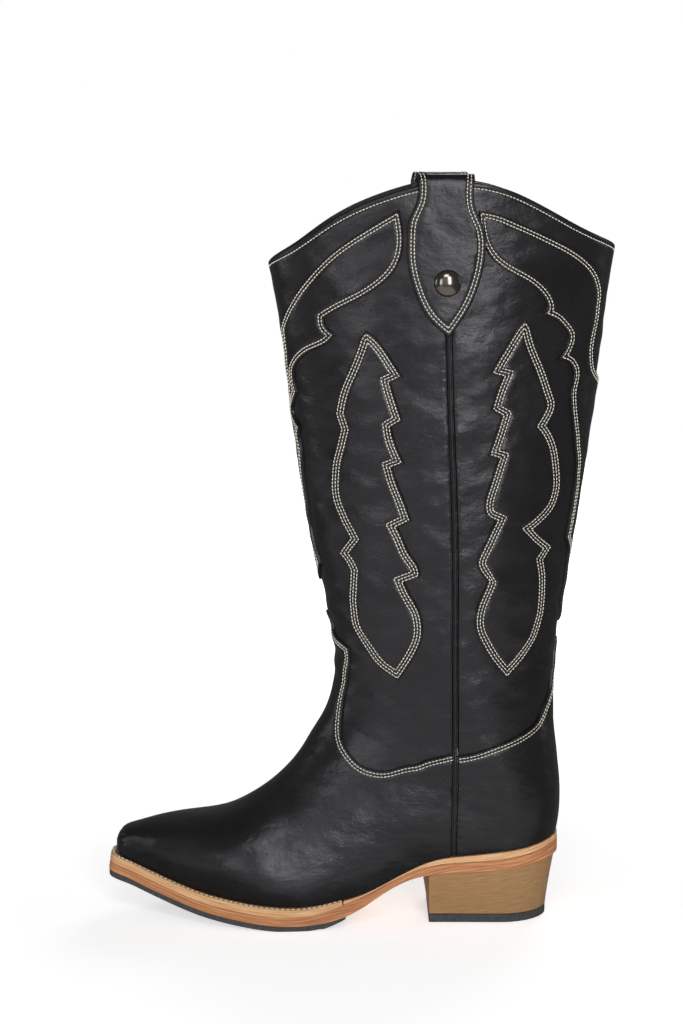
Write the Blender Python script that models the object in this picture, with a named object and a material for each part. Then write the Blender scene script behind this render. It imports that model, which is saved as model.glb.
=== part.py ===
"""Western boot for the left foot, made of the separate pieces that it is sewn, glued and nailed from.

Toe towards -X, outer side towards -Y, +Z up, standing on z = 0. The lengths in this file are millimetres,
and each mesh is turned into metres as it is made.

The upper follows one reference surface, a lines plan: straight sections fan out from the toe, over the
instep, to the rim of the shaft. A place on it is t, how far along the fan, and u, how far round the section:
0 on the front line, 1 on the sole's feather line or the back line, and 2 (or 0) back at the front by the
inner side. Each leather piece is an outline on that surface, between two heights above it.
"""

import math

import bmesh
import bpy
import numpy as np
from mathutils import Matrix, Vector
from mathutils.geometry import delaunay_2d_cdt

MM = 0.001
OUTER, INNER = -1, 1

# Height of each leather layer over the reference surface: (low, high).
LINING = (-3.6, -2.55)
PANEL = (-2.0, 0.0)
COVER = (0.75, 1.95)
OVERLAY = (0.4, 1.6)
PIPING_TOP, PIPING_TOP_AT_VAMP, PIPING_WIDTH = 1.1, 2.5, 1.5
SEAM_EDGE = 1.4
LINING_EDGE = 0.3
JOIN = 0.5

# Toe, heel and waist of the footprint.
TOE_X, TOE_ROUND, TOE_POWER = -142.2, 6.0, 2.5
HEEL_X, HEEL_Z, HEEL_ROUND = 116.3, 50.5, 29.0
SHAFT_TOP = 445.0
GIRTH = 120.0
SLIT = 0.5

# Bottom work.
WELT_END, WELT_INSIDE, RAND_INSIDE = -9.0, 6.5, 9.0
INSOLE_INSET, INSOLE_THICK, SOCK_THICK = 4.4, 2.2, 1.5
SHANK_WIDTH, SHANK_THICK, SHANK_ENDS = 14.0, 1.2, (-27.0, 62.0)
RUBBER_END = -7.0
BREAST_X, BREAST_BULGE = 42.0, 4.0
HEEL_BACK_X, HEEL_TAPER = 112.2, 0.86
LIFT_THICK = 5.0
NAIL_RADIUS, NAIL_HEAD, NAIL_CLEAR, NAIL_DEPTH = 1.0, 2.2, 0.45, 16.0
NAILS = [(68, -14), (68, 14), (92, -14), (92, 14), (100, 0)]

# Pull straps and their studs.
STRAP_THICK, STRAP_BEND, STRAP_MIDDLE, STRAP_TOP = 2.0, 4.15, -1.05, 432.7
STRAP_LEFT = [(51.4, 346.4), (39.6, 357.4), (31.3, 374.6), (28.2, 388.1), (27.8, 401.5), (29.1, 413.3),
              (33.2, 423.3), (33.8, 432.9)]
STRAP_RIGHT = [(64.7, 432.9), (65.1, 420.0), (70.0, 407.7), (71.1, 394.2), (68.2, 378.0), (62.9, 364.2),
               (51.4, 346.4)]
STRAP_INSIDE = (31.0, 66.0, 371.0)
STUD = (50.2, 377.0)
STUD_RADIUS, STUD_DOME, POST_RADIUS, POST_HOLE = 7.6, 3.4, 1.2, 1.9
BURR_RADIUS, BURR_THICK = 4.5, 0.9

# Curves of the profile.
FEATHER = [(-148, 36.2), (-142.2, 35.2), (-137.5, 33.9), (-129, 31.1), (-112, 25.7), (-93, 20.3), (-72, 16.6),
           (-50, 14.1), (-27, 14.0), (-10, 16.8), (0, 18.8), (16, 25.6), (27, 31.4), (42, 38.2), (64, 42.2),
           (84, 44.4), (98, 46.6), (110, 49.2), (116.3, 50.5), (121, 51.2)]
BACK = [(HEEL_Z, HEEL_X), (58, 117.6), (68, 118.4), (80, 118.2), (90, 117.3), (103, 115.9), (118, 114.6),
        (133, 114.6), (150, 115.6), (175, 118.2), (203, 121.8), (232, 125.8), (268, 131.2), (317, 138.2),
        (345, 141.4), (373, 144.8), (400, 149.3), (SHAFT_TOP, 157)]
SIDE_SEAM = [(30, 55.6), (42, 55.9), (76, 56.7), (154, 56.4), (225, 55.8), (271, 54.3), (311, 52.6),
             (346, 51.5), (377, 50.4), (SHAFT_TOP, 50.2)]
MIDSOLE_UNDER = [(-152, 26.2), (-142.2, 25.0), (-137.5, 23.6), (-129, 20.4), (-112, 15.1), (-93, 9.7), (-72, 6.0),
                 (-50, 3.4), (-27, 3.3), (-16, 4.6), (-8, 6.6), (2.5, 11.1), (15.5, 19.2), (25, 24.6),
                 (33, 27.8), (42, 30.0), (64, 32.0), (84, 33.8), (100, 36.0), (122, 39.0)]
EDGE_LAYER = [(-150, 4.4), (-30, 4.4), (-18, 3.8), (-8, 2.4), (2, 1.3), (12, 1.2), (28, 1.3), (42, 2.6), (56, 3.5),
              (120, 3.6)]
OUTSET = [(-150, 4.8), (-25, 4.7), (-8, 3.4), (5, 1.8), (30, 1.6), (48, 2.6), (120, 2.8)]


def under(x):
    """A section's rear end on the feather line."""
    return x - TOE_X


def behind(z):
    """A section's rear end on the back line."""
    return HEEL_X - TOE_X + z - HEEL_Z


# One row a section: front x and z, rear end, half width, where it is widest, width at the feather line,
# fullness, shift of the centre line, spread of points round the section, and radius at the back.
SECTIONS = [
    (-142.2, 42.5, under(-142.2), 11.0, 0.75, 0.97, 0.30, 4.5, 0.5, 29),
    (-139.5, 47.3, under(-137.5), 12.0, 0.75, 0.97, 0.30, 4.5, 0.5, 29),
    (-133.5, 50.3, under(-129.0), 15.5, 0.75, 0.97, 0.30, 4.2, 0.5, 29),
    (-120.0, 54.0, under(-112.0), 23.5, 0.75, 0.97, 0.28, 3.2, 0.5, 29),
    (-105.0, 57.0, under(-93.0), 31.2, 0.75, 0.97, 0.25, 2.0, 0.5, 29),
    (-90.0, 59.0, under(-72.0), 37.5, 0.75, 0.97, 0.22, 0.5, 0.52, 29),
    (-76.5, 62.4, under(-50.0), 40.5, 0.76, 0.97, 0.18, -1.0, 0.56, 29),
    (-63.3, 69.3, under(-27.0), 38.8, 0.77, 0.96, 0.12, -2.0, 0.62, 29),
    (-50.6, 78.2, under(0.0), 35.0, 0.75, 0.90, 0.08, -2.5, 0.7, 29),
    (-35.9, 92.8, under(35.0), 32.4, 0.66, 0.87, 0.06, -1.8, 0.79, 29),
    (-26.3, 107.7, under(78.0), 31.4, 0.58, 0.93, 0.06, -0.8, 0.87, 29),
    (-18.0, 122.3, under(110.0), 31.4, 0.54, 0.95, 0.08, -0.2, 0.94, 29),
    (-14.0, 134.5, behind(68.0), 31.8, 0.52, 0.95, 0.12, 0.0, 0.99, 34),
    (-12.3, 147.0, behind(90.0), 32.3, 0.52, 0.95, 0.12, 0.0, 1.0, 46),
    (-12.6, 160.0, behind(118.0), 33.2, 0.52, 0.95, 0.10, 0.0, 1.0, 58),
    (-17.2, 183.0, behind(150.0), 34.5, 0.51, 0.95, 0.08, 0.0, 1.0, 64),
    (-24.0, 214.0, behind(185.0), 36.0, 0.50, 0.95, 0.05, 0.0, 1.0, 70),
    (-30.6, 252.0, behind(223.0), 37.0, 0.50, 0.95, 0.03, 0.0, 1.0, 77),
    (-36.2, 291.0, behind(268.0), 38.0, 0.50, 0.95, 0.03, 0.0, 1.0, 83),
    (-42.0, 330.0, behind(317.0), 39.0, 0.50, 0.95, 0.03, 0.0, 1.0, 90),
    (-47.8, 366.0, behind(364.0), 40.0, 0.50, 0.95, 0.03, 0.0, 1.0, 96),
    (-54.0, 400.0, behind(400.0), 40.5, 0.50, 0.95, 0.03, 0.0, 1.0, 101),
    (-61.0, 445.0, behind(445.0), 41.0, 0.50, 0.95, 0.03, 0.0, 1.0, 109),
]

# Outlines in side view, as x and z. A list of stretches: each is smooth, and there is a corner between two.
RIM_FRONT = [(-38.8, 396.0), (-21.7, 408.0), (-7.5, 416.5), (13.8, 425.5), (29.4, 430.3), (42.0, 432.8)]
RIM_BACK = [(60.0, 433.4), (73.7, 431.8), (96.5, 423.8), (113.9, 414.7), (131.7, 405.4)]
RIM_CORNERS = (386.8, 396.2)
UNDER_VAMP = [(54.5, 91.5), (37.0, 86.0), (24.0, 82.0), (12.0, 80.0), (0.0, 83.5), (-10.0, 92.0), (-16.0, 98.0)]
UNDER_VAMP_FRONT = 104.5
UNDER_COUNTER = [(58.0, 90.0), (66.0, 91.0), (78.0, 95.5), (92.0, 100.5), (103.0, 106.5), (109.0, 114.0)]
UNDER_COUNTER_BACK = 126.0
VAMP_TONGUE = [(0.0, 182.5), (3.2, 177.0), (5.0, 171.5)]
VAMP_TOP = [[(-9.3, 166.6), (-4.0, 163.5)],
            [(-4.5, 152.0), (-6.2, 139.8), (-8.2, 127.7), (-9.2, 116.4), (-8.2, 107.2), (-3.6, 99.8),
             (3.5, 94.1), (11.9, 92.0), (22.1, 93.8), (36.0, 97.5), (55.3, 103.3)]]
COUNTER_TOP = [(57.9, 101.8), (66.0, 103.2), (77.5, 107.0), (91.1, 111.6), (100.0, 116.0), (105.4, 120.6),
               (109.2, 128.2), (113.0, 137.0)]
COUNTER_TIP = 166.5
FRONT_FLAME_TIP = (23.0, 417.8)
FRONT_FLAME_ABOVE = [(2.0, 405.3), (-14.3, 393.9), (-25.1, 383.0), (-34.0, 371.3), (-40.2, 359.7)]
FRONT_FLAME_V = [(9.0, 350.0), (8.0, 340.0), (6.5, 330.0), (5.0, 320.0), (3.2, 311.0)]
FRONT_FLAME_BELOW = [
    [(24.9, 407.1), (24.6, 394.2), (20.1, 383.5), (11.7, 375.0), (0.1, 367.5), (-10.9, 361.7), (-19.2, 356.5)],
    [(-17.6, 351.0), (-12.7, 347.4)],
    [(-18.1, 341.6), (-27.0, 337.1), (-33.5, 331.3), (-36.4, 323.9), (-35.9, 317.5), (-34.6, 312.5)],
    [(-36.6, 306.0)],
]
FRONT_TAIL = [[(4.5, 301.5), (12.0, 292.5)],
              [(8.5, 286.5), (9.5, 280.0), (8.0, 265.0), (5.0, 240.0), (4.0, 229.0), (8.5, 217.0), (10.5, 213.0)],
              [(6.0, 208.0)]]
FRONT_TAIL_END, FRONT_V_END = 200.5, 304.8
BACK_FLAME_TIP = (67.3, 417.4)
BACK_FLAME_ABOVE = [(76.1, 415.9), (86.2, 412.1), (97.9, 407.0), (108.9, 401.8), (120.1, 396.0), (129.5, 389.2),
                    (135.1, 382.5), (138.1, 374.3), (138.6, 366.7), (137.1, 354.7), (135.2, 343.5),
                    (134.7, 334.0), (135.6, 327.4)]
BACK_V_END = 319.5
BACK_FLAME_BELOW = [
    [(71.5, 395.9), (76.4, 389.2), (85.0, 382.9), (95.4, 377.1), (103.0, 370.8), (106.5, 365.6),
     (107.0, 361.6), (104.6, 358.6)],
    [(110.5, 356.6), (116.7, 351.1), (119.8, 346.4), (119.3, 342.4), (115.8, 335.6), (113.2, 332.4)],
    [(118.3, 331.7), (121.9, 328.5), (123.3, 323.2), (121.6, 315.2), (121.8, 305.3), (123.6, 292.9),
     (125.0, 279.1), (125.6, 265.3), (124.3, 251.6), (122.2, 238.1), (120.4, 227.3)],
]
BACK_TAIL = [(6.0, 217.0), (4.5, 205.0), (3.6, 190.0)]
BACK_TAIL_END = 176.0
FEATHER_EDGE = 1.5
FRONT_FEATHER = [
    [(5.2, 347.0), (10.6, 341.0), (16.0, 333.1), (21.6, 324.1)],
    [(15.2, 321.1)],
    [(16.9, 314.9), (19.5, 306.9), (22.1, 299.2)],
    [(16.1, 295.5)],
    [(17.4, 288.5), (20.0, 281.6), (23.1, 274.9)],
    [(16.6, 272.3)],
    [(18.8, 264.8), (22.2, 255.9), (25.0, 248.7), (27.6, 241.8)],
    [(19.7, 237.7)],
    [(23.3, 230.3), (27.6, 221.0), (31.6, 215.2), (33.0, 209.2)],
    [(24.1, 205.6)],
    [(27.6, 197.9), (32.6, 189.2), (34.6, 181.3), (34.6, 173.6), (31.9, 165.4), (27.1, 156.4), (22.3, 148.6)],
    [(14.6, 153.7), (7.9, 162.1), (2.1, 170.6), (-1.3, 179.2), (-2.7, 189.4), (-2.7, 199.0), (-2.2, 210.1)],
    [(-5.0, 215.6), (-8.5, 220.0)],
    [(-2.3, 229.1)],
    [(-8.3, 240.7), (-11.9, 249.3), (-13.2, 258.3), (-12.8, 269.0), (-10.5, 280.9), (-7.5, 292.5)],
    [(-10.5, 301.2)],
    [(-9.2, 308.2), (-5.8, 319.1), (-0.5, 331.2), (5.2, 347.0)],
]
REAR_FEATHER = [
    [(93.9, 353.0), (87.6, 342.0), (82.4, 333.3), (78.5, 325.9)],
    [(85.1, 324.1)],
    [(81.7, 315.0), (78.7, 304.8)],
    [(84.5, 301.4)],
    [(81.1, 289.8), (77.3, 278.9)],
    [(83.0, 277.0)],
    [(78.8, 263.8), (75.8, 254.4), (75.0, 247.2), (77.0, 243.0), (81.6, 240.8)],
    [(78.0, 233.1), (72.9, 222.2), (71.2, 213.6), (74.0, 208.8)],
    [(78.0, 209.3)],
    [(75.8, 201.9), (71.9, 192.4), (69.8, 182.5), (70.7, 175.0), (74.4, 166.9), (80.0, 157.4), (85.5, 150.3)],
    [(92.4, 157.5), (98.9, 165.8), (103.4, 175.5), (106.1, 185.3), (106.8, 196.0), (106.6, 207.3),
     (105.3, 216.6)],
    [(110.1, 223.9)],
    [(103.3, 229.9), (98.4, 235.2)],
    [(106.9, 242.3), (112.0, 249.0), (114.2, 257.9), (114.0, 268.8), (112.4, 278.9), (108.6, 289.6),
     (104.7, 295.2)],
    [(108.4, 301.2), (110.1, 307.5), (108.2, 313.6), (104.7, 323.4), (100.0, 334.8), (95.6, 346.2),
     (93.9, 353.0)],
]

U_LINES = np.array([0.0, 0.06, 0.13, 0.22, 0.33, 0.45, 0.57, 0.69, 0.79, 0.87, 0.94, 1.0]) * GIRTH


def spline(knots, values, at):
    """Natural cubic spline through rows of values."""
    count, step = len(knots), np.diff(knots)
    system = np.zeros((count, count))
    right = np.zeros((count, values.shape[1]))
    system[0, 0] = system[-1, -1] = 1
    for i in range(1, count - 1):
        system[i, i - 1] = step[i - 1]
        system[i, i] = 2 * (step[i - 1] + step[i])
        system[i, i + 1] = step[i]
        right[i] = 6 * ((values[i + 1] - values[i]) / step[i] - (values[i] - values[i - 1]) / step[i - 1])
    bend = np.linalg.solve(system, right)
    i = np.clip(np.searchsorted(knots, at) - 1, 0, count - 2)
    span = step[i][:, None]
    a = (knots[i + 1] - at)[:, None] / span
    b = 1 - a
    return a * values[i] + b * values[i + 1] + ((a**3 - a) * bend[i] + (b**3 - b) * bend[i + 1]) * span**2 / 6


def curve(points, at):
    """The second value of a list of pairs, as a smooth function of the first, held at the ends."""
    pairs = np.array(points, float)
    at = np.clip(np.asarray(at, float).ravel(), pairs[0, 0], pairs[-1, 0])
    return spline(pairs[:, 0], pairs[:, 1:], at)[:, 0]


def rear_end(rear):
    """Point of the feather line or the back line at this distance from the toe."""
    rear = np.clip(rear, 0, behind(SHAFT_TOP))
    z = np.maximum(rear - (HEEL_X - TOE_X) + HEEL_Z, HEEL_Z)
    x = np.minimum(rear + TOE_X, HEEL_X)
    on_back = z > HEEL_Z
    return np.where(on_back, curve(BACK, z), x), np.where(on_back, z, curve(FEATHER, x))


PLAN = np.array(SECTIONS, float)
PLAN_REAR = np.stack(rear_end(PLAN[:, 2]), axis=1)
STEPS = (np.hypot(*np.diff(PLAN[:, :2], axis=0).T) + np.hypot(*np.diff(PLAN_REAR, axis=0).T)) / 2
KNOTS = np.concatenate([[0.0], np.cumsum(STEPS)])
T_END = KNOTS[-1]


def section(t):
    """Front x and z, rear x and z, then the other columns of the plan, at t."""
    row = spline(KNOTS, PLAN, np.clip(t, 0, T_END))
    x, z = rear_end(row[:, 2])
    spread = np.clip(row[:, 8], 0.5, 1.0)
    return row[:, 0], row[:, 1], x, z, row[:, 3], row[:, 4], row[:, 5], row[:, 6], row[:, 7], spread, row[:, 9]


def surface(t, a, side):
    """Reference surface at t and a, from 0 at the front line to 1 at the rear end, on the given side."""
    fx, fz, rx, rz, half, widest, hem, full, shift, spread, radius = section(t)
    s = (1 - np.cos(spread * np.pi * a)) / (1 - np.cos(spread * np.pi))
    x, z = fx + (rx - fx) * s, fz + (rz - fz) * s
    v = np.clip((widest - s) / widest, 0, 1)
    front = np.sqrt(np.maximum(1 - v * v, 0)) * (1 + full * v * v)
    v = np.clip((s - widest) / (1 - widest), 0, 1)
    tuck = 1 - (1 - np.minimum(hem, 1)) * v * v
    toe = (1 - (1 - np.clip((x - TOE_X) / TOE_ROUND, 0, 1)) ** TOE_POWER) ** (1 / TOE_POWER)
    v = 1 - np.clip((curve(BACK, z) - x) / radius, 0, 1)
    back = np.sqrt(np.maximum(1 - v * v, 0)) * (1 + full * v * v)
    return np.stack([x, shift + side * half * front * tuck * toe * back, z], axis=1)


def t_under(x):
    """The t of the section whose rear end is at this x on the feather line."""
    t = np.linspace(0, T_END, 4000)
    return float(np.interp(under(x), spline(KNOTS, PLAN[:, 2:3], t)[:, 0], t))


T_CORNER = t_under(HEEL_X)
HEM_LINES = [-124, -102, -78, -56, -36, -22, -8, 4, 15, 25, 34, 44, 60, 80]
T_LINES = np.concatenate([[0.8, 2.5, 6.0], [t_under(x) for x in HEM_LINES], np.arange(t_under(98), 228, 8.0),
                          np.arange(240, T_END, 37.0)])
T_LINES_BACK = np.concatenate([T_LINES[T_LINES < T_CORNER - 22], T_CORNER - np.array([17.0, 11.0, 6.5, 3.2, 1.2, 0.25]),
                               T_CORNER + np.array([3.5, 8.0, 13.0]), T_LINES[T_LINES > T_CORNER + 15]])


def fold(places):
    """The a and the side of places. Either side of the slit along the feather line counts as on that line."""
    u = np.mod(places[:, 0] / GIRTH, 2.0)
    a = np.where(u <= 1, u, 2 - u)
    at_slit = (a > 1 - 1.5 * SLIT / GIRTH) & (places[:, 1] <= T_CORNER + 0.01)
    return np.where(at_slit, 1.0, a), np.where(u <= 1, OUTER, INNER)


def lifted(places, height):
    """Points at the given height over the surface. A place is u * GIRTH and t."""
    a, side = fold(places)
    t = np.clip(places[:, 1], 0, T_END)
    base = surface(t, a, side)
    reach, along = 0.004, 0.3
    before, after = a - reach, a + reach
    open_hem = (after > 1) & (t < T_CORNER)
    after = np.where(open_hem, 1.0, after)
    low = surface(t, np.abs(before), np.where(before < 0, -side, side))
    high = surface(t, np.where(after > 1, 2 - after, after), np.where(after > 1, -side, side))
    ahead = surface(np.minimum(t + along, T_END), a, side)
    behind_it = surface(np.maximum(t - along, 0), a, side)
    normal = np.cross(high - low, ahead - behind_it) * -side[:, None]
    at_hem = (a > 0.999) & (t < T_CORNER + 0.5)
    normal[at_hem, 2] = 0
    normal[a < 0.001, 1] = 0
    at_toe = t < 0.01
    normal[at_toe] = (-1, 0, 0)
    normal[at_toe, 2] = np.clip(1 - a[at_toe] / 0.4, 0, 1)
    normal[(a > 0.999) & (t >= T_CORNER), 1] = 0
    normal /= np.linalg.norm(normal, axis=1)[:, None]
    return base + normal * height


def locate(points):
    """Places on the outer side of points given as x and z in side view."""
    x, z = np.array(points, float).T
    low, high = np.zeros(len(x)), np.full(len(x), T_END)
    for _ in range(40):
        middle = (low + high) / 2
        fx, fz, rx, rz = section(middle)[:4]
        above = (rx - fx) * (z - fz) - (rz - fz) * (x - fx) > 0
        low, high = np.where(above, middle, low), np.where(above, high, middle)
    fx, fz, rx, rz, *_, spread, _ = section(middle)
    s = ((x - fx) * (rx - fx) + (z - fz) * (rz - fz)) / ((rx - fx) ** 2 + (rz - fz) ** 2)
    a = np.arccos(1 - np.clip(s, 0, 1) * (1 - np.cos(spread * np.pi))) / (spread * np.pi)
    return np.stack([a * GIRTH, middle], axis=1)


def beside(line, points):
    """Places on the outer side, as a distance round the leg from the front line (0) or the back line (1), and z."""
    found = []
    for distance, z in points:
        t = np.linspace(0, T_END, 900)
        fx, fz, rx, rz = section(t)[:4]
        t = t[np.argmin(np.abs((rz if line else fz) - z) + 1000 * (t < T_CORNER) * line)]
        a = np.linspace(0, 1, 200)
        ring = surface(np.full(200, t), a, np.full(200, OUTER))
        if line:
            ring, a = ring[::-1], a[::-1]
        run = np.concatenate([[0], np.cumsum(np.linalg.norm(np.diff(ring, axis=0), axis=1))])
        found.append((GIRTH * np.interp(distance, run, a), t))
    return np.array(found)


def rounded(points, step=8.0):
    """A smooth run through points, which it keeps."""
    points = np.asarray(points, float)
    apart = np.linalg.norm(np.diff(points, axis=0), axis=1) > 0.05
    points = points[np.concatenate([[True], apart])]
    if len(points) < 3:
        return points
    run = np.concatenate([[0], np.cumsum(np.linalg.norm(np.diff(points, axis=0), axis=1))])
    at = [np.linspace(a, b, max(2, round((b - a) / step) + 1))[:-1] for a, b in zip(run[:-1], run[1:])]
    return spline(run, points, np.concatenate(at + [[run[-1]]]))


def joined(stretches):
    """One outline from stretches of places, with a corner wherever two meet."""
    outline, last = [], None
    for stretch in stretches:
        stretch = np.asarray(stretch, float).reshape(-1, 2)
        if last is not None:
            stretch = np.vstack([last, stretch])
        run = rounded(stretch)
        outline.extend(run[1:] if last is not None else run)
        last = run[-1]
    return np.array(outline)


def across(half, line):
    """Half an outline, from the front line (0) or the back line (1) and back to it, with its mirror image."""
    other = half[::-1].copy()
    other[:, 0] = 2 * line * GIRTH - other[:, 0]
    return np.vstack([half, other[1:-1]])


def on_inner(outline):
    return np.stack([2 * GIRTH - outline[:, 0], outline[:, 1]], axis=1)[::-1]


def grown(outline, distance):
    """An outline moved outwards, with mitred corners."""
    area = np.sum(outline[:, 0] * np.roll(outline[:, 1], -1) - np.roll(outline[:, 0], -1) * outline[:, 1])
    ahead = np.roll(outline, -1, axis=0) - outline
    ahead /= np.linalg.norm(ahead, axis=1)[:, None]
    normal = np.stack([ahead[:, 1], -ahead[:, 0]], axis=1) * np.sign(area)
    mitre = normal + np.roll(normal, 1, axis=0)
    mitre /= np.linalg.norm(mitre, axis=1)[:, None]
    return outline + distance * mitre / np.maximum(np.sum(mitre * normal, axis=1), 0.5)[:, None]


def within(outlines, points):
    inside = np.zeros(len(points), bool)
    for outline in outlines:
        for (x0, y0), (x1, y1) in zip(outline, np.roll(outline, -1, axis=0)):
            if y0 != y1:
                crosses = (y0 > points[:, 1]) != (y1 > points[:, 1])
                inside ^= crosses & (points[:, 0] < (x1 - x0) * (points[:, 1] - y0) / (y1 - y0) + x0)
    return inside


def tessellated(outlines, across_lines, along_lines):
    """Triangles inside the first outline and outside the others, cut along a grid of lines."""
    points, edges = [], []
    for outline in outlines:
        first = len(points)
        points.extend(outline)
        edges.extend((first + i, first + (i + 1) % len(outline)) for i in range(len(outline)))
    low, high = outlines[0].min(axis=0), outlines[0].max(axis=0)
    reach = 0.4
    ends = [[(line, low[1] - 1), (line, high[1] + 1)] for line in across_lines
            if low[0] + reach < line < high[0] - reach]
    ends += [[(low[0] - 1, line), (high[0] + 1, line)] for line in along_lines
             if low[1] + reach < line < high[1] - reach]
    for pair in ends:
        edges.append((len(points), len(points) + 1))
        points.extend(pair)
    lean = 0.15
    found = delaunay_2d_cdt([Vector((x + lean * y, y)) for x, y in points], edges, [], 0, 0.05)
    flat = np.array([(x - lean * y, y) for x, y in found[0]])
    faces = np.array([f for f in found[2] if len(f) == 3])
    inside = within(outlines, flat[faces].mean(axis=1))
    used, faces = np.unique(faces[inside], return_inverse=True)
    return flat[used], faces.reshape(-1, 3)


def make(name, points, faces, finish):
    """An object from points in millimetres."""
    mesh = bpy.data.meshes.new(name)
    mesh.from_pydata([tuple(p) for p in np.asarray(points) * MM], [], [tuple(map(int, f)) for f in faces])
    mesh.validate()
    mesh.shade_smooth()
    mesh.set_sharp_from_angle(angle=math.radians(35))
    obj = bpy.data.objects.new(name, mesh)
    bpy.context.scene.collection.objects.link(obj)
    colour, roughness, metallic = finish
    material = bpy.data.materials.new(name)
    material.use_nodes = True
    shader = material.node_tree.nodes["Principled BSDF"]
    shader.inputs["Base Color"].default_value = (*colour, 1)
    shader.inputs["Roughness"].default_value = roughness
    shader.inputs["Metallic"].default_value = metallic
    material.diffuse_color = (*colour, 1)
    mesh.materials.append(material)
    return obj


def slab(name, flat, faces, lift, layer, finish, turned=False):
    """A closed sheet between two heights over the places of a flat mesh."""
    low, high = lift(flat, layer[0]), lift(flat, layer[1])
    _, first, same = np.unique(np.round(np.hstack([low, high]), 2), axis=0, return_index=True, return_inverse=True)
    low, high, faces = low[first], high[first], same.reshape(-1)[faces]
    faces = faces[(faces[:, 0] != faces[:, 1]) & (faces[:, 1] != faces[:, 2]) & (faces[:, 0] != faces[:, 2])]
    _, same, times = np.unique(np.sort(faces, axis=1), axis=0, return_inverse=True, return_counts=True)
    faces = faces[times[same.reshape(-1)] == 1]
    edges = {(int(f[i]), int(f[(i + 1) % 3])) for f in faces for i in range(3)}
    count = len(high)
    solid = [tuple(f) for f in faces] + [tuple(f[::-1] + count) for f in faces]
    solid += [(b, a, a + count, b + count) for a, b in edges if (b, a) not in edges]
    if turned:
        solid = [f[::-1] for f in solid]
    return make(name, np.vstack([high, low]), solid, finish)


def leather(name, outline, layer, finish):
    """A piece of the upper."""
    round_the_leg = np.unique(np.concatenate([U_LINES, -U_LINES, 2 * GIRTH - U_LINES]))
    rows = T_LINES_BACK if outline[:, 0].max() > GIRTH and outline[:, 0].min() < GIRTH else T_LINES
    flat, faces = tessellated([outline], round_the_leg, rows)
    return slab(name, flat, faces, lifted, layer, finish)


BLACK = ((0.018, 0.017, 0.018), 0.38, 0.0)
LINING_TAN = ((0.32, 0.22, 0.13), 0.7, 0.0)
BOARD = ((0.45, 0.33, 0.2), 0.85, 0.0)
WELT_TAN = ((0.62, 0.4, 0.2), 0.6, 0.0)
SOLE_BROWN = ((0.4, 0.17, 0.08), 0.5, 0.0)
RUBBER = ((0.05, 0.05, 0.055), 0.75, 0.0)
STACKED = ((0.3, 0.18, 0.09), 0.5, 0.0)
CORK = ((0.5, 0.34, 0.2), 0.9, 0.0)
STEEL = ((0.5, 0.5, 0.52), 0.35, 1.0)
GUNMETAL = ((0.3, 0.29, 0.28), 0.18, 1.0)
COTTON = ((0.6, 0.55, 0.45), 0.9, 0.0)


def seam_run(shift, top, foot):
    """Points down the side seam between two heights, moved forwards or backwards."""
    steps = [405, 380, 355, 325, 295, 265, 235, 205, *range(184, 46, -7)]
    heights = [top] + [z for z in steps if foot + 3 < z < top - 3] + [foot]
    return [(x + shift, z) for x, z in zip(curve(SIDE_SEAM, heights), heights)]


def stud_notch(edge, direction):
    """The half of the stud's hole that this edge of the side seam goes round, from top to bottom."""
    reach = math.acos(min(1.0, abs(edge - STUD[0]) / POST_HOLE))
    angles = np.linspace(reach, -reach, 5)
    return [(STUD[0] + direction * POST_HOLE * math.cos(g), STUD[1] + POST_HOLE * math.sin(g)) for g in angles]


def shaft_seam(shift, foot):
    """Stretches down the side seam from the rim to the given height."""
    direction = -1 if shift < 0 else 1
    edge = float(curve(SIDE_SEAM, [STUD[1]])[0]) + shift
    notch = stud_notch(edge, direction)
    return [locate(seam_run(shift, 433.3, 382)), locate(notch[:1]), locate(notch[1:]),
            locate(seam_run(shift, 372, foot))]


def shaft_half(front, shift):
    """Half the outline of a shaft panel or its lining."""
    if front:
        start, end, rim, hem, hem_end = RIM_CORNERS[0], UNDER_VAMP_FRONT, RIM_FRONT, UNDER_VAMP, 0
    else:
        start, end, rim, hem, hem_end = RIM_CORNERS[1], UNDER_COUNTER_BACK, RIM_BACK[::-1], UNDER_COUNTER, 1
    return joined([
        np.vstack([beside(hem_end, [(0, start)]), locate(rim + seam_run(shift, 433.3, 382)[:1])]),
        *shaft_seam(shift, hem[0][1]),
        np.vstack([locate(hem[1:]), beside(hem_end, [(0, end)])]),
    ])


def make_shaft():
    shaft_front = across(shaft_half(True, -SEAM_EDGE), 0)
    shaft_back = across(shaft_half(False, SEAM_EDGE), 1)
    leather("shaft_front_panel", shaft_front, PANEL, BLACK)
    leather("shaft_back_panel", shaft_back, PANEL, BLACK)
    leather("shaft_lining_front", across(shaft_half(True, -LINING_EDGE), 0), LINING, LINING_TAN)
    leather("shaft_lining_back", across(shaft_half(False, LINING_EDGE), 1), LINING, LINING_TAN)


def hem_run(t_from, t_to):
    """Two corners with the feather line between them, on the outer side."""
    return [(GIRTH - SLIT, t_from)], [(GIRTH - SLIT, t_to)]


def seam_foot(shift):
    """Value of t where the side seam meets the feather line."""
    return t_under(float(curve(SIDE_SEAM, [41.0])[0]) + shift)


def seam_down(shift, top):
    return locate(seam_run(shift, top, 43.0))


def tucked(edge, shift):
    """The lower edge of a shaft panel, lowered to be the upper edge of the piece that meets it."""
    corner = seam_run(shift, edge[0][1], 0)[0]
    return [(x, z - JOIN) for x, z in edge[:0:-1] + [corner]]


def up_the_toe(outline):
    """An outline that has come to the toe along the feather line, taken on to the front line."""
    return np.vstack([outline, [(0.66 * GIRTH, 0), (0.33 * GIRTH, 0), (0, 0)]])


def up_the_heel(outline):
    """An outline that has come to the back line along the feather line, taken on to that line."""
    return np.vstack([outline, [(GIRTH, T_CORNER)]])


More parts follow.
